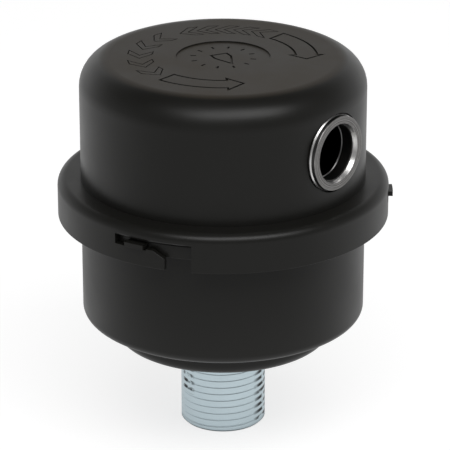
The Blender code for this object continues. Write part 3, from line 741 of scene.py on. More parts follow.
def round_copies(calls, geometry, number, offset):
    """Instances of a geometry, spread evenly round Z from a share of one step."""
    spots = calls.add("GeometryNodePoints", number).outputs[0]
    index = calls.add("GeometryNodeInputIndex").outputs[0]
    spin = calls.product(calls.math("DIVIDE", calls.math("ADD", index, offset), number), 2 * math.pi)
    turn = calls.add("ShaderNodeCombineXYZ", 0.0, 0.0, spin).outputs[0]
    return calls.add("GeometryNodeInstanceOnPoints", spots, Instance=geometry, Rotation=turn).outputs[0]


def gusset_set(name, outline, thickness, number):
    """Upright plates with a side view in (radius, height), spread evenly round Z by nodes."""
    sides = [[(radius, side * thickness / 2, height) for radius, height in outline] for side in (-1, 1)]
    calls, at = geometry_tree(name, wholes=("Copies",))
    copies = round_copies(calls, at["Geometry"], at["Copies"], 0.5)
    return apply_nodes(loft(name, sides), end_tree(calls, copies), {"Copies": number})


def slot_outline():
    """Side view of one bayonet slot: seat, hook, ramp and the entry below it."""
    lock = settings().bayonet
    seat = cap_low.z + lock.seat
    top = gasket_high.z + settings().housing.gap - lock.bridge
    seat_start = -lock.arc / 2 - lock.end_gap - lock.play
    seat_end = lock.arc / 2 + lock.end_gap
    hook_end = seat_end + lock.hook_arc
    entry_start = lock.turn - lock.arc / 2 - lock.entry_gap
    entry_end = lock.turn + lock.arc / 2 + lock.entry_gap
    below = cap_low.z - settings().housing.skirt_wall
    outline = strip(seat_start, seat_end, seat)
    outline += strip(seat_end, hook_end, seat + lock.hook_height)
    outline += [(entry_start, seat - lock.ramp_drop)]
    outline += strip(entry_start, entry_end, below)
    outline += strip(entry_end, seat_start, top)
    return outline


def bevel_outline():
    """Side view of the thin cutter that bevels a slot's upper edge."""
    lock = settings().bayonet
    top = gasket_high.z + settings().housing.gap - lock.bridge
    start = -lock.arc / 2 - lock.end_gap - lock.play + 1 * DEGREE
    end = lock.turn + lock.arc / 2 + lock.entry_gap - 1 * DEGREE
    return strip(start, end, top - 0.1 * MM) + strip(end, start, top + 0.01 * MM)


def arc_points(radius, start, end):
    """Points on a circle about the origin, from one angle to another."""
    return [polar(radius, turn) for turn in spaced(start, end, 2 * DEGREE)]


def arrow_outline(tail, neck, tip):
    """Outline of an arrow bent along a circle, from its tail to its tip."""
    marks = settings().symbols
    inner = marks.middle - marks.shaft / 2
    outer = marks.middle + marks.shaft / 2
    head_inner = marks.middle - marks.head / 2
    head_outer = marks.middle + marks.head / 2
    head = [polar(head_outer, neck), polar(marks.middle, tip), polar(head_inner, neck)]
    return arc_points(outer, tail, neck) + head + arc_points(inner, neck, tail)


def chevron_outline(middle, direction):
    """Outline of a chevron on the arrows' circle, pointing round it."""
    marks = settings().symbols
    half = marks.chevron / 2
    reach = half / marks.middle * 0.55
    wide = half / marks.middle * 0.75
    radii = (marks.middle - half, marks.middle, marks.middle + half)
    front = [(radii[0], middle - direction * reach), (radii[1], middle + direction * reach)]
    front += [(radii[2], middle - direction * reach)]
    back = [(radius, turn - direction * wide) for radius, turn in reversed(front)]
    return [polar(radius, turn) for radius, turn in front + back]


def groove(name, outline, width, depth, top):
    """Ring-shaped cutter with sloping sides that follows a closed outline in the cap's top."""
    over = 0.1 * MM
    rings = []
    for side, height, part in ((1, over, 1.1), (1, -depth, 0.7), (-1, -depth, 0.7), (-1, over, 1.1)):
        edge = grown(outline, side * width / 2 * part)
        rings.append([(x, y, top + height) for x, y in edge])
    form = bmesh.new()
    loops = [[form.verts.new(point) for point in ring] for ring in rings]
    for lower, upper in zip(loops, loops[1:] + loops[:1]):
        bridge(form, lower, upper)
    bmesh.ops.triangulate(form, faces=form.faces)
    return new_object(name, form)


ARROWS = (
    ("front", -91 * DEGREE, -47 * DEGREE, -36 * DEGREE),
    ("rear", 89 * DEGREE, 43 * DEGREE, 34.4 * DEGREE),
)
DIAL_POINTER = -25 * DEGREE
CHEVRONS = (
    (5, -203 * DEGREE, -255 * DEGREE, 1),
    (5, -102 * DEGREE, -178 * DEGREE, 1),
)


def tick_mark(name, turn, floor):
    """Cutter for one straight tick of the dial."""
    marks = settings().symbols
    along = Vector(polar(1, turn))
    across = Vector((-math.sin(turn), math.cos(turn))) * marks.line / 2
    inner = along * (marks.dial - marks.tick)
    outer = along * marks.dial
    outline = [tuple(point) for point in (inner + across, inner - across, outer - across, outer + across)]
    sections = []
    for height, more in ((-marks.depth, -0.25 * marks.line), (0.1 * MM, 0.0)):
        sections.append([(*point, floor + height) for point in grown(outline, more)])
    return loft(name, sections)


def dial_marks(floor):
    """Cutters for the dial in the round panel: a ring of ticks round a pointer."""
    marks = settings().symbols
    cutters = []
    for index in range(marks.ticks):
        cutters.append(tick_mark(f"tick_{index + 1}", 2 * math.pi * index / marks.ticks, floor))
    back = -0.30 * marks.dial
    tip = 0.62 * marks.dial
    half = 0.26 * marks.dial
    pointer = [(tip, 0.0), (0.0, half), (back, half), (back, -half), (0.0, -half)]
    turn = DIAL_POINTER
    turned_outline = [
        (x * math.cos(turn) - y * math.sin(turn), x * math.sin(turn) + y * math.cos(turn)) for x, y in pointer
    ]
    cutters.append(groove("pointer", turned_outline, marks.line, marks.depth, floor))
    return cutters


def symbols():
    """Cutter for the lines in the cap's top: arrows, chevrons and the dial."""
    marks = settings().symbols
    top = cap_high.z
    cutters = dial_marks(top - settings().housing.panel_depth)
    for name, tail, neck, tip in ARROWS:
        cutters.append(groove(f"{name}_arrow", arrow_outline(tail, neck, tip), marks.line, marks.depth, top))
    for number, start, end, way in CHEVRONS:
        for index in range(number):
            middle = start + (end - start) * index / (number - 1)
            outline = chevron_outline(middle, way)
            cutters.append(groove(f"chevron_{len(cutters)}", outline, marks.fine_line, marks.depth, top))
    return joined("symbols", cutters)


def make_cap_shell():
    """Cap: domed edge, flange and skirt, spigot, ring and gussets, port, slots and symbols."""
    house = settings().housing
    lock = settings().bayonet
    port = settings().port
    inner = house.wall_radius - house.wall
    flange_top = cap_low.z + house.flange_rise
    flange_radius = cap_high.x
    skirt_inner = flange_radius - house.skirt_wall
    shoulder = gasket_high.z + house.gap
    spigot = inner - house.gap
    spigot_inner = spigot - house.spigot_wall
    ceiling = cap_high.z - house.floor
    pocket = lower_high.x + house.gap
    ring_outer = pocket + house.ring_wall
    ceiling_fillet = house.roof_fillet - house.wall
    fine = SUPPORT
    cap = turned(
        "cap",
        [
            (0, cap_high.z, 0),
            (house.wall_radius, cap_high.z, house.roof_fillet),
            (house.wall_radius, flange_top, 0),
            (flange_radius, flange_top, house.flange_edge),
            (flange_radius, cap_low.z, house.skirt_edge),
            (skirt_inner, cap_low.z, fine),
            (skirt_inner, shoulder, 0),
            (spigot, shoulder, 0),
            (spigot, shoulder - house.spigot_length, house.small_fillet),
            (spigot_inner, shoulder - house.spigot_length, fine),
            (spigot_inner, flange_top, 0),
            (inner, flange_top + inner - spigot_inner, 0),
            (inner, ceiling, ceiling_fillet),
            (ring_outer, ceiling, 0),
            (ring_outer, ceiling - house.ring_depth, fine),
            (pocket, ceiling - house.ring_depth, fine),
            (pocket, ceiling, 0),
            (0, ceiling, 0),
        ],
    )

    panel = turned(
        "panel",
        [
            (0, cap_high.z + house.panel_depth, 0),
            (house.panel_radius + house.panel_depth / 2, cap_high.z + house.panel_depth, 0),
            (house.panel_radius, cap_high.z - fine, 0),
            (house.panel_radius, cap_high.z - house.panel_depth, 0),
            (0, cap_high.z - house.panel_depth, 0),
        ],
        steps=SMALL_ROUND_STEPS,
    )

    slots = []
    bevels = []
    lip = lock.slot_lip
    outside = flange_radius + CUTTER_REACH
    bevel_sections = [(flange_radius - lip * 0.45, 0), (flange_radius, lip), (outside, lip)]
    for index in range(lock.lugs):
        turn = lock.first + 2 * math.pi * index / lock.lugs
        edge = flange_radius - lock.slot_edge
        worn = 3 * lock.slot_edge
        sections = [((skirt_inner + spigot) / 2, 0), (edge, 0), (edge + worn, worn)]
        sections.append((edge + CUTTER_REACH, worn))
        slots.append(bent(f"slot_{index + 1}", slot_outline(), turn, sections))
        bevels.append(bent(f"bevel_{index + 1}", bevel_outline(), turn, bevel_sections))

    eyelet_radius = (eyelet_high.z - eyelet_low.z) / 2
    tube = port.bore + port.wall + house.gap
    pad_face = eyelet_low.x + port.flare + house.gap
    pad_end = (inner + house.wall_radius) / 2 - house.wall / 4
    pad = turned(
        "pad",
        [
            (0, pad_end - pad_face, 0),
            (eyelet_radius + port.pad_margin, pad_end - pad_face, 0),
            (eyelet_radius + port.pad_margin, 0, 0),
            (0, 0, 0),
        ],
        steps=SMALL_ROUND_STEPS,
    )
    along_inlet(pad, pad_face)

    above = ceiling + house.floor / 4
    outer = inner + house.wall / 4
    bend = ceiling_fillet / 2
    ring_middle = ring_outer - house.ring_wall / 2
    gussets = gusset_set(
        "cap_gussets",
        [
            (ring_middle, above),
            (outer - bend, above),
            (outer, above - bend),
            (outer, ceiling - house.gusset_height),
            (ring_middle, ceiling - house.ring_depth / 2),
        ],
        house.gusset,
        house.gussets,
    )

    spot_face = eyelet_high.x - port.flange - house.gap
    start = inner - CUTTER_REACH
    reach = 16 * MM
    spot_radius = eyelet_radius + house.gap
    port_cut = turned(
        "port_cut",
        [
            (0, reach, 0),
            (spot_radius, reach, 0),
            (spot_radius, spot_face - start, 0),
            (tube, spot_face - start, 0),
            (tube, 0, 0),
            (0, 0, 0),
        ],
        steps=SMALL_ROUND_STEPS,
    )
    along_inlet(port_cut, start)

    combine(cap, [panel, symbols(), joined("slots", slots), joined("bevels", bevels)], "DIFFERENCE")
    combine(cap, [pad, gussets], "UNION")
    combine(cap, [port_cut], "DIFFERENCE")
    return cap


def make_base_shell():
    """Base: cup with a grooved rim, three lugs and a deep foot round the nipple."""
    house = settings().housing
    lock = settings().bayonet
    inner = house.wall_radius - house.wall
    skirt_inner = cap_high.x - house.skirt_wall
    rim_radius = skirt_inner - house.rim_gap
    groove_inner = inner + house.inner_lip
    groove_outer = rim_radius - house.outer_lip
    groove_floor = gasket_low.z - house.gap
    bottom = base_low.z + house.foot_rise
    pocket = lower_high.x + house.gap
    foot = pocket + house.foot_wall
    hole = settings().nipple.radius + house.gap
    fine = SUPPORT
    base = turned(
        "base_cup",
        [
            (inner, base_high.z, fine),
            (groove_inner, base_high.z, fine),
            (groove_inner, groove_floor, 0),
            (groove_outer, groove_floor, 0),
            (groove_outer, base_high.z, 0),
            (rim_radius, base_high.z, house.rim_edge),
            (rim_radius, base_high.z - house.rim, fine),
            (house.wall_radius, base_high.z - house.rim, 0),
            (house.wall_radius, bottom, house.base_fillet),
            (foot, bottom, fine),
            (foot, base_low.z, house.foot_edge),
            (hole, base_low.z, 0),
            (hole, base_low.z + house.floor, 0),
            (pocket, base_low.z + house.floor, 0),
            (pocket, bottom + house.floor, fine),
            (inner, bottom + house.floor, house.base_fillet),
        ],
    )
    lugs = []
    lug_top = base_high.z - lock.sink
    outline = strip(-lock.arc / 2, lock.arc / 2, lug_top - lock.thickness)
    outline += strip(lock.arc / 2, -lock.arc / 2, lug_top)
    outer = cap_high.x + lock.proud
    for index in range(lock.lugs):
        turn = lock.first + 2 * math.pi * index / lock.lugs
        sections = [(rim_radius - house.outer_lip / 2, 0), (outer - lock.chamfer, 0), (outer, -lock.chamfer)]
        lugs.append(bent(f"lug_{index + 1}", outline, turn, sections))
    floor_top = bottom + house.floor
    gussets = gusset_set(
        "base_gussets",
        [
            (pocket + house.ring_wall, floor_top - house.floor / 4),
            (inner + house.wall / 4, floor_top - house.floor / 4),
            (inner + house.wall / 4, floor_top + house.gusset_height),
            (pocket + house.ring_wall, floor_top + house.small_fillet),
        ],
        house.gusset,
        house.gussets,
    )
    combine(base, [gussets, joined("lugs", lugs)], "UNION")
    return base


def make_eyelet_ring():
    """Eyelet: sharp face, plain side, beaded rear edge, bright mouth, tube with a lip and a flared edge."""
    port = settings().port
    radius = (eyelet_high.z - eyelet_low.z) / 2
    tube = port.bore + port.wall
    rear = -port.flange
    step = port.bead / 2
    flare_front = eyelet_low.x + port.flare - eyelet_high.x
    flare_rear = eyelet_low.x - eyelet_high.x
    ring = turned(
        "eyelet",
        [
            (port.bore + port.mouth, 0, 0.06 * MM),
            (radius - step, 0, 0.1 * MM),
            (radius - step, rear + port.bead, 0),
            (radius, rear + port.bead - step, 0.12 * MM),
            (radius, rear, 0.12 * MM),
            (tube, rear, 0),
            (tube, flare_front, 0),
            (tube + port.flare_rim, flare_front, 0.15 * MM),
            (tube + port.flare_rim, flare_rear, 0.15 * MM),
            (tube, flare_rear, 0),
            (port.bore - port.lip, flare_front - port.lip, port.lip * 0.8),
            (port.bore - port.lip, flare_front + port.lip, port.lip * 0.8),
            (port.bore, flare_front + 2 * port.lip, 0),
            (port.bore, -port.mouth_depth, 0.3 * MM),
        ],
        steps=SMALL_ROUND_STEPS * 2,
    )
    return along_inlet(ring, eyelet_high.x)


def eyelet_plate(name, tone, dull):
    """Bright plating with a duller, finely turned face, and painted shade on the side band and in the bore.
    """
    material, calls, shader, place = new_material(name)
    port = settings().port
    centred = calls.vector("SUBTRACT", place, (0.0, 0.0, (eyelet_low.z + eyelet_high.z) / 2))
    radius = calls.vector("LENGTH", calls.vector("MULTIPLY", centred, (0.0, 1.0, 1.0)))
    depth = calls.math("SUBTRACT", eyelet_high.x, calls.split(place)["X"])
    flat = calls.math("LESS_THAN", depth, HAIR)
    face = calls.product(flat, calls.math("GREATER_THAN", radius, port.bore + port.mouth))
    rings = calls.add("ShaderNodeTexNoise", noise_dimensions="1D", W=radius, Detail=2.0, Scale=4200.0)
    lines = calls.spread(rings.outputs["Fac"], 0.45, 1.3, 0.34, 0.62)
    cloud = calls.noise(place, 900.0, 4.0, 0.7)
    shade = calls.product(lines, calls.spread(cloud, 0.85, 1.1, 0.35, 0.65))
    # Painted shade: the side band behind the face and the bore past its mouth are darkened to 0.22 of the
    # plate's tone
    edge = (eyelet_high.z - eyelet_low.z) / 2 - port.bead / 2
    side = calls.product(
        calls.math("GREATER_THAN", radius, edge - HAIR),
        calls.math("LESS_THAN", radius, edge + HAIR),
        calls.math("GREATER_THAN", depth, 0.12 * MM),
    )
    inside = calls.product(
        calls.math("GREATER_THAN", depth, port.mouth_depth + 0.4 * MM),
        calls.math("LESS_THAN", radius, port.bore + port.wall),
    )
    shade_painted_plate = calls.mix(calls.math("MAXIMUM", side, inside), tone, [channel * 0.22 for channel in tone])
    calls.feed(shader.inputs["Base Color"], calls.mix(face, shade_painted_plate, calls.scaled(dull, shade)))
    calls.feed(shader.inputs["Roughness"], calls.spread(face, 0.30, 0.36))
    shader.inputs["Metallic"].default_value = 1.0
    calls.bump(shader, rings.outputs["Fac"], 0.3, FINE_RELIEF)
    return material


def thread_tree():
    """Nodes that cut a screw thread into the outside of a turned blank."""
    calls, at = geometry_tree("screw_thread", ("Crest", "Pitch", "Depth", "Start", "End", "Runout"))
    place = calls.add("GeometryNodeInputPosition").outputs[0]
    wave, parts = screw_wave(calls, place, at["Pitch"])
    radius = calls.vector("LENGTH", calls.flat(place))
    above = calls.spread(calls.math("SUBTRACT", parts["Z"], at["Start"]), 0.0, 1.0, 0.0, at["Runout"])
    below = calls.spread(calls.math("SUBTRACT", at["End"], parts["Z"]), 0.0, 1.0, 0.0, at["Runout"])
    outside = calls.math("GREATER_THAN", radius, calls.product(at["Crest"], 0.9))
    flank = calls.ease(wave, 0.76, 1.0)
    cut = calls.product(flank, at["Depth"], calls.math("MINIMUM", above, below), outside)
    moved = calls.scaled(calls.flat(place), calls.math("DIVIDE", calls.math("SUBTRACT", radius, cut), radius))
    height = calls.add("ShaderNodeCombineXYZ", 0.0, 0.0, parts["Z"]).outputs[0]
    target = calls.vector("ADD", moved, height)
    shifted = calls.add("GeometryNodeSetPosition", at["Geometry"], Position=target)
    return end_tree(calls, shifted.outputs[0])


def make_nipple_piece():
    """Nipple: threaded tube with a collar under the foot."""
    pipe = settings().nipple
    gap = settings().housing.gap
    collar_top = base_low.z - gap
    collar_bottom = collar_top - pipe.collar
    bore = pipe.radius - pipe.wall
    crest = pipe.radius - pipe.tip
    top = nipple_high.z
    corners = [(crest, top, 0), (pipe.radius, top - pipe.tip, 0)]
    corners += [(pipe.radius, collar_top, 0), (nipple_high.x, collar_top, 0.2 * MM)]
    corners += [(nipple_high.x, collar_bottom, 0.2 * MM), (pipe.radius, collar_bottom, 0)]
    run = collar_bottom - pipe.tip
    corners += [(pipe.radius, collar_bottom - run * row / THREAD_ROWS, 0) for row in range(1, THREAD_ROWS)]
    corners += [(pipe.radius, pipe.tip, 0), (crest, 0, 0), (bore, 0, 0.3 * MM), (bore, top, 0.3 * MM)]
    blank = turned("nipple", corners, steps=NIPPLE_STEPS)
    values = {
        "Crest": pipe.radius,
        "Pitch": pipe.pitch,
        "Depth": pipe.depth,
        "Start": 0.0,
        "End": collar_bottom,
        "Runout": pipe.runout,
    }
    nipple = apply_nodes(blank, thread_tree(), values)
    smooth(nipple.data)
    return nipple


def flat_ring(name, low, high, hole, edge):
    """Flat ring round the nipple, between the frame's corners."""
    corners = [(high.x, high.z, edge), (high.x, low.z, edge), (hole, low.z, edge), (hole, high.z, edge)]
    return turned(name, corners, steps=SMALL_ROUND_STEPS)


def make_nut():
    """Hexagon nut with chamfered corners."""
    pipe = settings().nipple
    hole = pipe.radius + settings().housing.gap
    corner = nut_high.x
    drop = pipe.nut_chamfer / 2
    blank = turned(
        "clamp_nut",
        [
            (corner - pipe.nut_chamfer, nut_high.z, 0),
            (corner + drop, nut_high.z - drop, 0),
            (corner + drop, nut_low.z + drop, 0),
            (corner - pipe.nut_chamfer, nut_low.z, 0),
            (hole, nut_low.z, 0.3 * MM),
            (hole, nut_high.z, 0.3 * MM),
        ],
        steps=SMALL_ROUND_STEPS,
    )
    sections = []
    for height in (nut_low.z - drop, nut_high.z + drop):
        sections.append([(*polar(corner, math.pi / 3 * side), height) for side in range(6)])
    return combine(blank, [loft("hexagon", sections)], "INTERSECT")


def make_soft_ends():
    """Soft moulded rings that close the ends of the element."""
    part = settings().element
    radius = lower_high.x
    channel_outer = radius - part.outer_wall
    channel_inner = core_high.x - part.core_wall - 1.5 * settings().housing.gap
    bore = channel_inner - part.inner_wall
    middle = (radius + bore) / 2
    hollow = (radius - bore) / 5
    bead = part.bead
    low = lower_low.z
    floor = lower_high.z - part.channel
    lower = turned(
        "lower_end",
        [
            (radius, lower_high.z, 0),
            (radius, low, bead),
            (middle + hollow, low, 0.2 * MM),
            (middle + hollow - bead, low + bead, 0.2 * MM),
            (middle - hollow + bead, low + bead, 0.2 * MM),
            (middle - hollow, low, 0.2 * MM),
            (bore, low, bead),
            (bore, lower_high.z, 0),
            (channel_inner, lower_high.z, 0),
            (channel_inner, floor, 0),
            (channel_outer, floor, 0),
            (channel_outer, lower_high.z, 0),
        ],
        steps=SMALL_ROUND_STEPS,
    )
    top = upper_high.z
    dish = top - part.dish
    under = dish - part.dish
    roof = upper_low.z + part.channel
    upper = turned(
        "upper_end",
        [
            (0, dish, 0),
            (part.dish_radius, dish, 0.6 * MM),
            (part.dish_radius + part.dish, top, 0.6 * MM),
            (radius, top, bead),
            (radius, upper_low.z, 0),
            (channel_outer, upper_low.z, 0),
            (channel_outer, roof, 0),
            (channel_inner, roof, 0),
            (channel_inner, upper_low.z, 0),
            (bore, upper_low.z, 0),
            (bore, under, 0.3 * MM),
            (0, under, 0),
        ],
        steps=SMALL_ROUND_STEPS,
    )
    return lower, upper


def pleat_tree():
    """Nodes that fold a flat grid into a ring of pleats."""
    calls, at = geometry_tree("pleated_paper", ("Outer", "Inner", "Low", "High"), wholes=("Pleats",))
    steps = calls.math("MULTIPLY_ADD", at["Pleats"], 12.0, 1.0)
    sheet = calls.add("GeometryNodeMeshGrid", 1.0, 1.0, steps, 9)
    parts = calls.split(calls.add("GeometryNodeInputPosition").outputs[0])
    along = calls.math("ADD", parts["X"], 0.5)
    up = calls.math("ADD", parts["Y"], 0.5)
    phase = calls.math("FRACT", calls.math("MULTIPLY_ADD", along, at["Pleats"], 0.25))
    wave = calls.math("ABSOLUTE", calls.math("MULTIPLY_ADD", phase, 2.0, -1.0))
    fold = calls.add("ShaderNodeMapRange", wave, 0.08, 0.92, 0.0, 1.0, interpolation_type="SMOOTHERSTEP")
    plain = calls.spread(wave, 0.0, 1.0)
    mixed = calls.math("MULTIPLY_ADD", calls.math("SUBTRACT", fold.outputs[0], plain), 0.25, plain)
    radius = calls.spread(mixed, at["Inner"], at["Outer"])
    turn = calls.product(along, 2 * math.pi)
    place = calls.round_place(radius, turn, calls.spread(up, at["Low"], at["High"]))
    shifted = calls.add("GeometryNodeSetPosition", sheet.outputs["Mesh"], Position=place)
    closed = calls.add("GeometryNodeMergeByDistance", shifted.outputs[0], Distance=0.005 * MM)
    return end_tree(calls, closed.outputs[0])


def empty_piece(name):
    """Object with an empty mesh, for a tree that makes its own geometry."""
    made = bpy.data.objects.new(name, bpy.data.meshes.new(name))
    bpy.context.scene.collection.objects.link(made)
    return made


def make_pleats():
    """Pleated paper with its own thickness."""
    part = settings().element
    outer = media_high.x - part.paper / 2
    values = {
        "Pleats": part.pleats,
        "Outer": outer,
        "Inner": outer - part.pleat_depth + part.paper,
        "Low": media_low.z,
        "High": media_high.z,
    }
    paper = apply_nodes(empty_piece("pleats"), pleat_tree(), values)
    solidify = paper.modifiers.new("paper", "SOLIDIFY")
    solidify.thickness = part.paper
    solidify.offset = 0.0
    evaluated(paper)
    smooth(paper.data)
    return paper


def strand_tree():
    """Nodes that wind flat strands both ways round a tube."""
    labels = ("Radius", "Width", "Thickness", "Twist", "Low", "High")
    calls, at = geometry_tree("wound_guard", labels, wholes=("Strands",))
    sides = []
    for way in (1.0, -1.0):
        line = calls.add("GeometryNodeMeshLine", Count=33)
        curve = calls.add("GeometryNodeMeshToCurve", line.outputs[0]).outputs[0]
        part = calls.math("DIVIDE", calls.add("GeometryNodeInputIndex").outputs[0], 32.0)
        radius = calls.math("MULTIPLY_ADD", at["Thickness"], way * 0.25, at["Radius"])
        height = calls.spread(part, at["Low"], at["High"])
        place = calls.round_place(radius, calls.product(part, at["Twist"], way), height)
        wound = calls.add("GeometryNodeSetPosition", curve, Position=place)
        section = calls.add("GeometryNodeCurvePrimitiveCircle", Resolution=6)
        calls.feed(section.inputs["Radius"], calls.product(at["Width"], 0.5))
        swept = calls.add("GeometryNodeCurveToMesh", wound.outputs[0], section.outputs[0])
        swept.inputs["Fill Caps"].default_value = True
        sides.append(round_copies(calls, swept.outputs[0], at["Strands"], 0.0))
    both = calls.add("GeometryNodeJoinGeometry", sides[0])
    calls.tree.links.new(sides[1], both.inputs[0])
    return end_tree(calls, both.outputs[0])


def make_guard():
    """Guard round the pleats."""
    part = settings().element
    thickness = part.guard_wall
    values = {
        "Strands": part.strands,
        "Radius": screen_high.x - thickness / 2,
        "Width": thickness / 2,
        "Thickness": thickness / 2,
        "Twist": part.twist,
        "Low": screen_low.z + thickness,
        "High": screen_high.z - thickness,
    }
    guard = apply_nodes(empty_piece("guard"), strand_tree(), values)
    smooth(guard.data)
    return guard


def make_core():
    """Inner cage: tall bars joined by rings."""
    part = settings().element
    radius = core_high.x
    inner = radius - part.core_wall
    low = core_low.z
    high = core_high.z
    edge = 0.15 * MM
    rings = []
    spacing = (high - low - part.core_bar) / (part.core_rings - 1)
    for index in range(part.core_rings):
        base = low + index * spacing
        top = base + part.core_bar
        corners = [(radius, top, edge), (radius, base, edge), (inner, base, edge), (inner, top, edge)]
        rings.append(turned(f"ring_{index + 1}", corners, steps=CORE_STEPS))
    inner, radius, low, high = inner + HAIR, radius - HAIR, low + HAIR, high - HAIR
    bar = [(inner, low), (radius, low), (radius, high), (inner, high)]
    return joined("core", rings + [gusset_set("core_bars", bar, part.core_bar, part.core_columns)])


def make_gasket_ring():
    """Flat gasket in the rim's groove."""
    house = settings().housing
    inner = house.wall_radius - house.wall + house.inner_lip + house.gap
    edge = 0.25 * MM
    corners = [(gasket_high.x, gasket_high.z, edge), (gasket_high.x, gasket_low.z, edge)]
    corners += [(inner, gasket_low.z, edge), (inner, gasket_high.z, edge)]
    return turned("rim_gasket", corners)


class StepOperator:
    """Shared settings of the operators below."""

    bl_options = {"REGISTER", "UNDO"}


class INTAKE_OT_cap(StepOperator, bpy.types.Operator):
    """Make the moulded cap with its slots, port and symbols"""

    bl_idname = "intake_filter.make_cap"
    bl_label = "Cap"

    def execute(self, context):
        tone = settings().finishes.plastic
        material = moulded("cap_plastic", tone, cap_high.z - settings().housing.roof_fillet / 2)
        deliver(make_cap_shell(), "cap", ["cap_shell"], material)
        return {"FINISHED"}


class INTAKE_OT_base(StepOperator, bpy.types.Operator):
    """Make the moulded base with its lugs and foot"""

    bl_idname = "intake_filter.make_base"
    bl_label = "Base"

    def execute(self, context):
        tone = settings().finishes.plastic
        material = moulded("base_plastic", tone)
        deliver(make_base_shell(), "base", ["base_shell"], material)
        return {"FINISHED"}


class INTAKE_OT_eyelet(StepOperator, bpy.types.Operator):
    """Make the plated inlet eyelet"""

    bl_idname = "intake_filter.make_eyelet"
    bl_label = "Inlet eyelet"

    def execute(self, context):
        finishes = settings().finishes
        material = eyelet_plate("bright_plate", finishes.plate, finishes.turned_plate)
        deliver(make_eyelet_ring(), "cap", ["inlet_eyelet"], material)
        return {"FINISHED"}


class INTAKE_OT_nipple(StepOperator, bpy.types.Operator):
    """Make the threaded outlet nipple"""

    bl_idname = "intake_filter.make_nipple"
    bl_label = "Outlet nipple"

    def execute(self, context):
        finishes = settings().finishes
        material = threaded_zinc("zinc_plate", finishes.zinc, 0.36, finishes.painted_thread_shade)
        deliver(make_nipple_piece(), "base", ["outlet_nipple"], material)
        return {"FINISHED"}


class INTAKE_OT_clamp(StepOperator, bpy.types.Operator):
    """Make the seal, the washer and the nut that clamp the nipple"""

    bl_idname = "intake_filter.make_clamp"
    bl_label = "Nipple clamp"

    def execute(self, context):
        steel = settings().finishes.steel
        hole = settings().nipple.radius + settings().housing.gap
        seal = flat_ring("seal_ring", seal_low, seal_high, hole, 0.3 * MM)
        deliver(seal, "base", ["nipple_seal"], soft("seal_rubber"))
        washer = flat_ring("clamp_washer", washer_low, washer_high, hole, 0.15 * MM)
        deliver(washer, "base", ["nipple_washer"], plated("washer_steel", steel, 0.35))
        deliver(make_nut(), "base", ["lock_nut"], plated("nut_steel", steel, 0.38))
        return {"FINISHED"}


class INTAKE_OT_gasket(StepOperator, bpy.types.Operator):
    """Make the flat gasket of the rim"""

    bl_idname = "intake_filter.make_gasket"
    bl_label = "Rim gasket"

    def execute(self, context):
        ring = make_gasket_ring()
        deliver(ring, "base", ["cap_gasket"], soft("gasket_rubber"))
        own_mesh(ring)
        return {"FINISHED"}


class INTAKE_OT_element(StepOperator, bpy.types.Operator):
    """Make the element's soft ends, its paper and its core"""

    bl_idname = "intake_filter.make_element"
    bl_label = "Filter element"

    def execute(self, context):
        lower, upper = make_soft_ends()
        deliver(lower, "base", ["element_lower_cap"], soft("lower_urethane"))
        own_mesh(lower)
        deliver(upper, "element", ["element_upper_cap"], soft("upper_urethane"))
        deliver(make_pleats(), "element", ["pleated_media"], soft("filter_paper"))
        deliver(make_core(), "element", ["element_core"], soft("core_plastic"))
        return {"FINISHED"}


class INTAKE_OT_guard(StepOperator, bpy.types.Operator):
    """Make the guard of wound strands"""

    bl_idname = "intake_filter.make_guard"
    bl_label = "Guard"

    def execute(self, context):
        deliver(make_guard(), "element", ["element_screen"], soft("screen_coat"))
        return {"FINISHED"}


def aside(calls, direction, start=0.75, end=-0.1):
    """Share from 0 in front of the filter, where the camera stands, to 1 beside and behind it."""
    turn = settings().studio.azimuth
    level_way = calls.vector("NORMALIZE", calls.flat(direction))
    forward = calls.vector("DOT_PRODUCT", level_way, (math.sin(turn), -math.cos(turn), 0.0))
    return calls.ease(forward, start, end)


def seen_rays(calls):
    """Rays straight from the camera, and rays that see something in a mirror."""
    rays = calls.add("ShaderNodeLightPath").outputs
    return rays["Is Camera Ray"], calls.math("MAXIMUM", rays["Is Glossy Ray"], rays["Is Transmission Ray"])


# Distances from the axis where the mirrored floor fades, and its shares there
NEAR_REACH = (0.092, 0.112)
NEAR_SHARE = 0.8
FAR_REACH = (0.13, 0.22)
FAR_SHARE = 0.86
SIDE_SHARES = (0.24, 0.68)
FOOT_REACH = (0.0108, 0.0122)
WHITE = (1.0, 1.0, 1.0, 1.0)


def studio_floor(reflectance, glow):
    """Wide plain floor, lifted to white where the camera sees it and where it mirrors the background."""
    form = bmesh.new()
    bmesh.ops.create_grid(form, x_segments=1, y_segments=1, size=1.5)
    floor = new_object("floor", form)
    material, calls, shader, place = new_material("floor_paint")
    tone = calls.mix(calls.noise(place, 6.0, 3.0), [reflectance * 0.985] * 3, [reflectance] * 3)
    calls.feed(shader.inputs["Base Color"], tone)
    shader.inputs["Roughness"].default_value = 0.9
    shader.inputs["Specular IOR Level"].default_value = 0.1
    direct, mirrored = seen_rays(calls)
    reach = calls.vector("LENGTH", place)
    near = calls.ease(reach, *NEAR_REACH, NEAR_SHARE, 0.0)
    far = calls.spread(aside(calls, place), *SIDE_SHARES)
    far = calls.product(far, calls.spread(reach, FAR_SHARE, 1.0, *FAR_REACH))
    mirrored = calls.product(mirrored, calls.math("MAXIMUM", far, near), calls.ease(reach, *FOOT_REACH))
    seen = calls.math("MAXIMUM", direct, mirrored)
    lit = calls.add("ShaderNodeEmission", WHITE, calls.product(seen, glow))
    both = calls.add("ShaderNodeAddShader", shader.outputs[0], lit.outputs[0])
    output = next(node for node in calls.tree.nodes if node.bl_idname == "ShaderNodeOutputMaterial")
    calls.feed(output.inputs["Surface"], both.outputs[0])
    floor.data.materials.append(material)


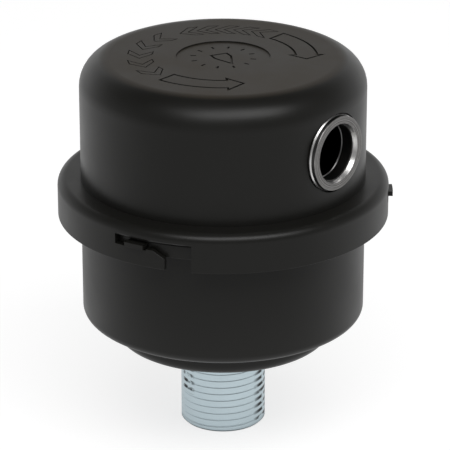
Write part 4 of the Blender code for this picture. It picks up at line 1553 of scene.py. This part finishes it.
def studio_world(studio):
    """Even surroundings: white for the camera, and a white backdrop under a dark ceiling in mirrors."""
    world = bpy.data.worlds.new("studio")
    bpy.context.scene.world = world
    world.use_nodes = True
    calls = Tree(world.node_tree)
    direction = calls.add("ShaderNodeTexCoord").outputs["Generated"]
    steep = calls.ease(calls.split(direction)["Z"], 0.1, 0.78, 0.8, studio.ceiling)
    behind = calls.spread(aside(calls, direction, -0.2, -0.95), 0.5, 1.15)
    room = calls.spread(aside(calls, direction), studio.front_wall, calls.product(steep, behind))
    direct, mirrored = seen_rays(calls)
    strength = calls.spread(direct, calls.spread(mirrored, studio.sky, room), 1.0)
    plain = world.node_tree.nodes["Background"]
    plain.inputs["Color"].default_value = WHITE
    calls.feed(plain.inputs["Strength"], strength)


def area_lamp(name, place, target, size, watts):
    """Rectangular soft lamp that faces a point."""
    light = bpy.data.lights.new(name, "AREA")
    light.shape = "RECTANGLE"
    light.size, light.size_y = size
    light.energy = watts
    lamp = bpy.data.objects.new(name, light)
    bpy.context.scene.collection.objects.link(lamp)
    lamp.location = place
    lamp.rotation_euler = (Vector(target) - Vector(place)).to_track_quat("-Z", "Y").to_euler()
    return lamp


SOFTBOX_SIZE = (0.84, 0.36)
SOFTBOX_DISTANCE = 0.7


def around(azimuth, elevation, distance, height):
    """Point at a distance from the axis, seen in the camera's way of counting angles."""
    flat = distance * math.cos(elevation)
    return (flat * math.sin(azimuth), -flat * math.cos(azimuth), height + distance * math.sin(elevation))


class INTAKE_OT_stage(StepOperator, bpy.types.Operator):
    """Set up the floor, the lights and the camera"""

    bl_idname = "intake_filter.make_stage"
    bl_label = "Stage"

    def execute(self, context):
        studio = settings().studio
        scene = context.scene
        scene.view_settings.view_transform = "Standard"
        studio_floor(studio.floor, studio.glow)
        studio_world(studio)
        turn = studio.azimuth + studio.softbox_turn
        above = around(turn, studio.softbox_rise, SOFTBOX_DISTANCE, cap_high.z)
        area_lamp("softbox", above, (0.0, 0.0, cap_high.z), SOFTBOX_SIZE, studio.softbox)

        across = Vector((math.cos(studio.azimuth), math.sin(studio.azimuth), 0.0)) * studio.slide
        back = Vector(around(studio.azimuth, studio.elevation, 1.0, 0.0))
        camera = bpy.data.cameras.new("photo_camera")
        camera.sensor_fit = "HORIZONTAL"
        camera.sensor_width = 36.0
        camera.lens = studio.lens
        camera.clip_start = 0.01
        camera.clip_end = 20.0
        seat = bpy.data.objects.new("photo_camera", camera)
        scene.collection.objects.link(seat)
        seat.location = Vector((0.0, 0.0, studio.target_height)) + across + back * studio.distance
        seat.rotation_euler = (-back).to_track_quat("-Z", "Y").to_euler()
        scene.camera = seat
        return {"FINISHED"}


STEPS = (
    INTAKE_OT_stage,
    INTAKE_OT_cap,
    INTAKE_OT_base,
    INTAKE_OT_eyelet,
    INTAKE_OT_nipple,
    INTAKE_OT_clamp,
    INTAKE_OT_gasket,
    INTAKE_OT_element,
    INTAKE_OT_guard,
)


class INTAKE_PT_panel(bpy.types.Panel):
    """Sidebar panel with the steps and the sizes"""

    bl_idname = "INTAKE_PT_panel"
    bl_label = "Intake Filter"
    bl_space_type = "VIEW_3D"
    bl_region_type = "UI"
    bl_category = "Filter"

    def draw(self, context):
        layout = self.layout
        for step in STEPS:
            layout.operator(step.bl_idname)
        groups = context.scene.intake_filter
        for group in FilterSettings.__annotations__:
            box = layout.box()
            box.label(text=group.title())
            part = getattr(groups, group)
            for field in type(part).__annotations__:
                box.prop(part, field)


CLASSES = (
    HousingSettings,
    BayonetSettings,
    PortSettings,
    NippleSettings,
    ElementSettings,
    SymbolSettings,
    FinishSettings,
    StudioSettings,
    FilterSettings,
    *STEPS,
    INTAKE_PT_panel,
)


def register():
    """Register the classes and hang the settings on the scene."""
    for item in CLASSES:
        bpy.utils.register_class(item)
    bpy.types.Scene.intake_filter = PointerProperty(type=FilterSettings)


def unregister():
    """Undo register."""
    del bpy.types.Scene.intake_filter
    for item in reversed(CLASSES):
        bpy.utils.unregister_class(item)


def main():
    """Build the whole filter and its stage."""
    register()
    for step in STEPS:
        getattr(bpy.ops.intake_filter, step.bl_idname.split(".")[1])()


if __name__ == "__main__":
    main()
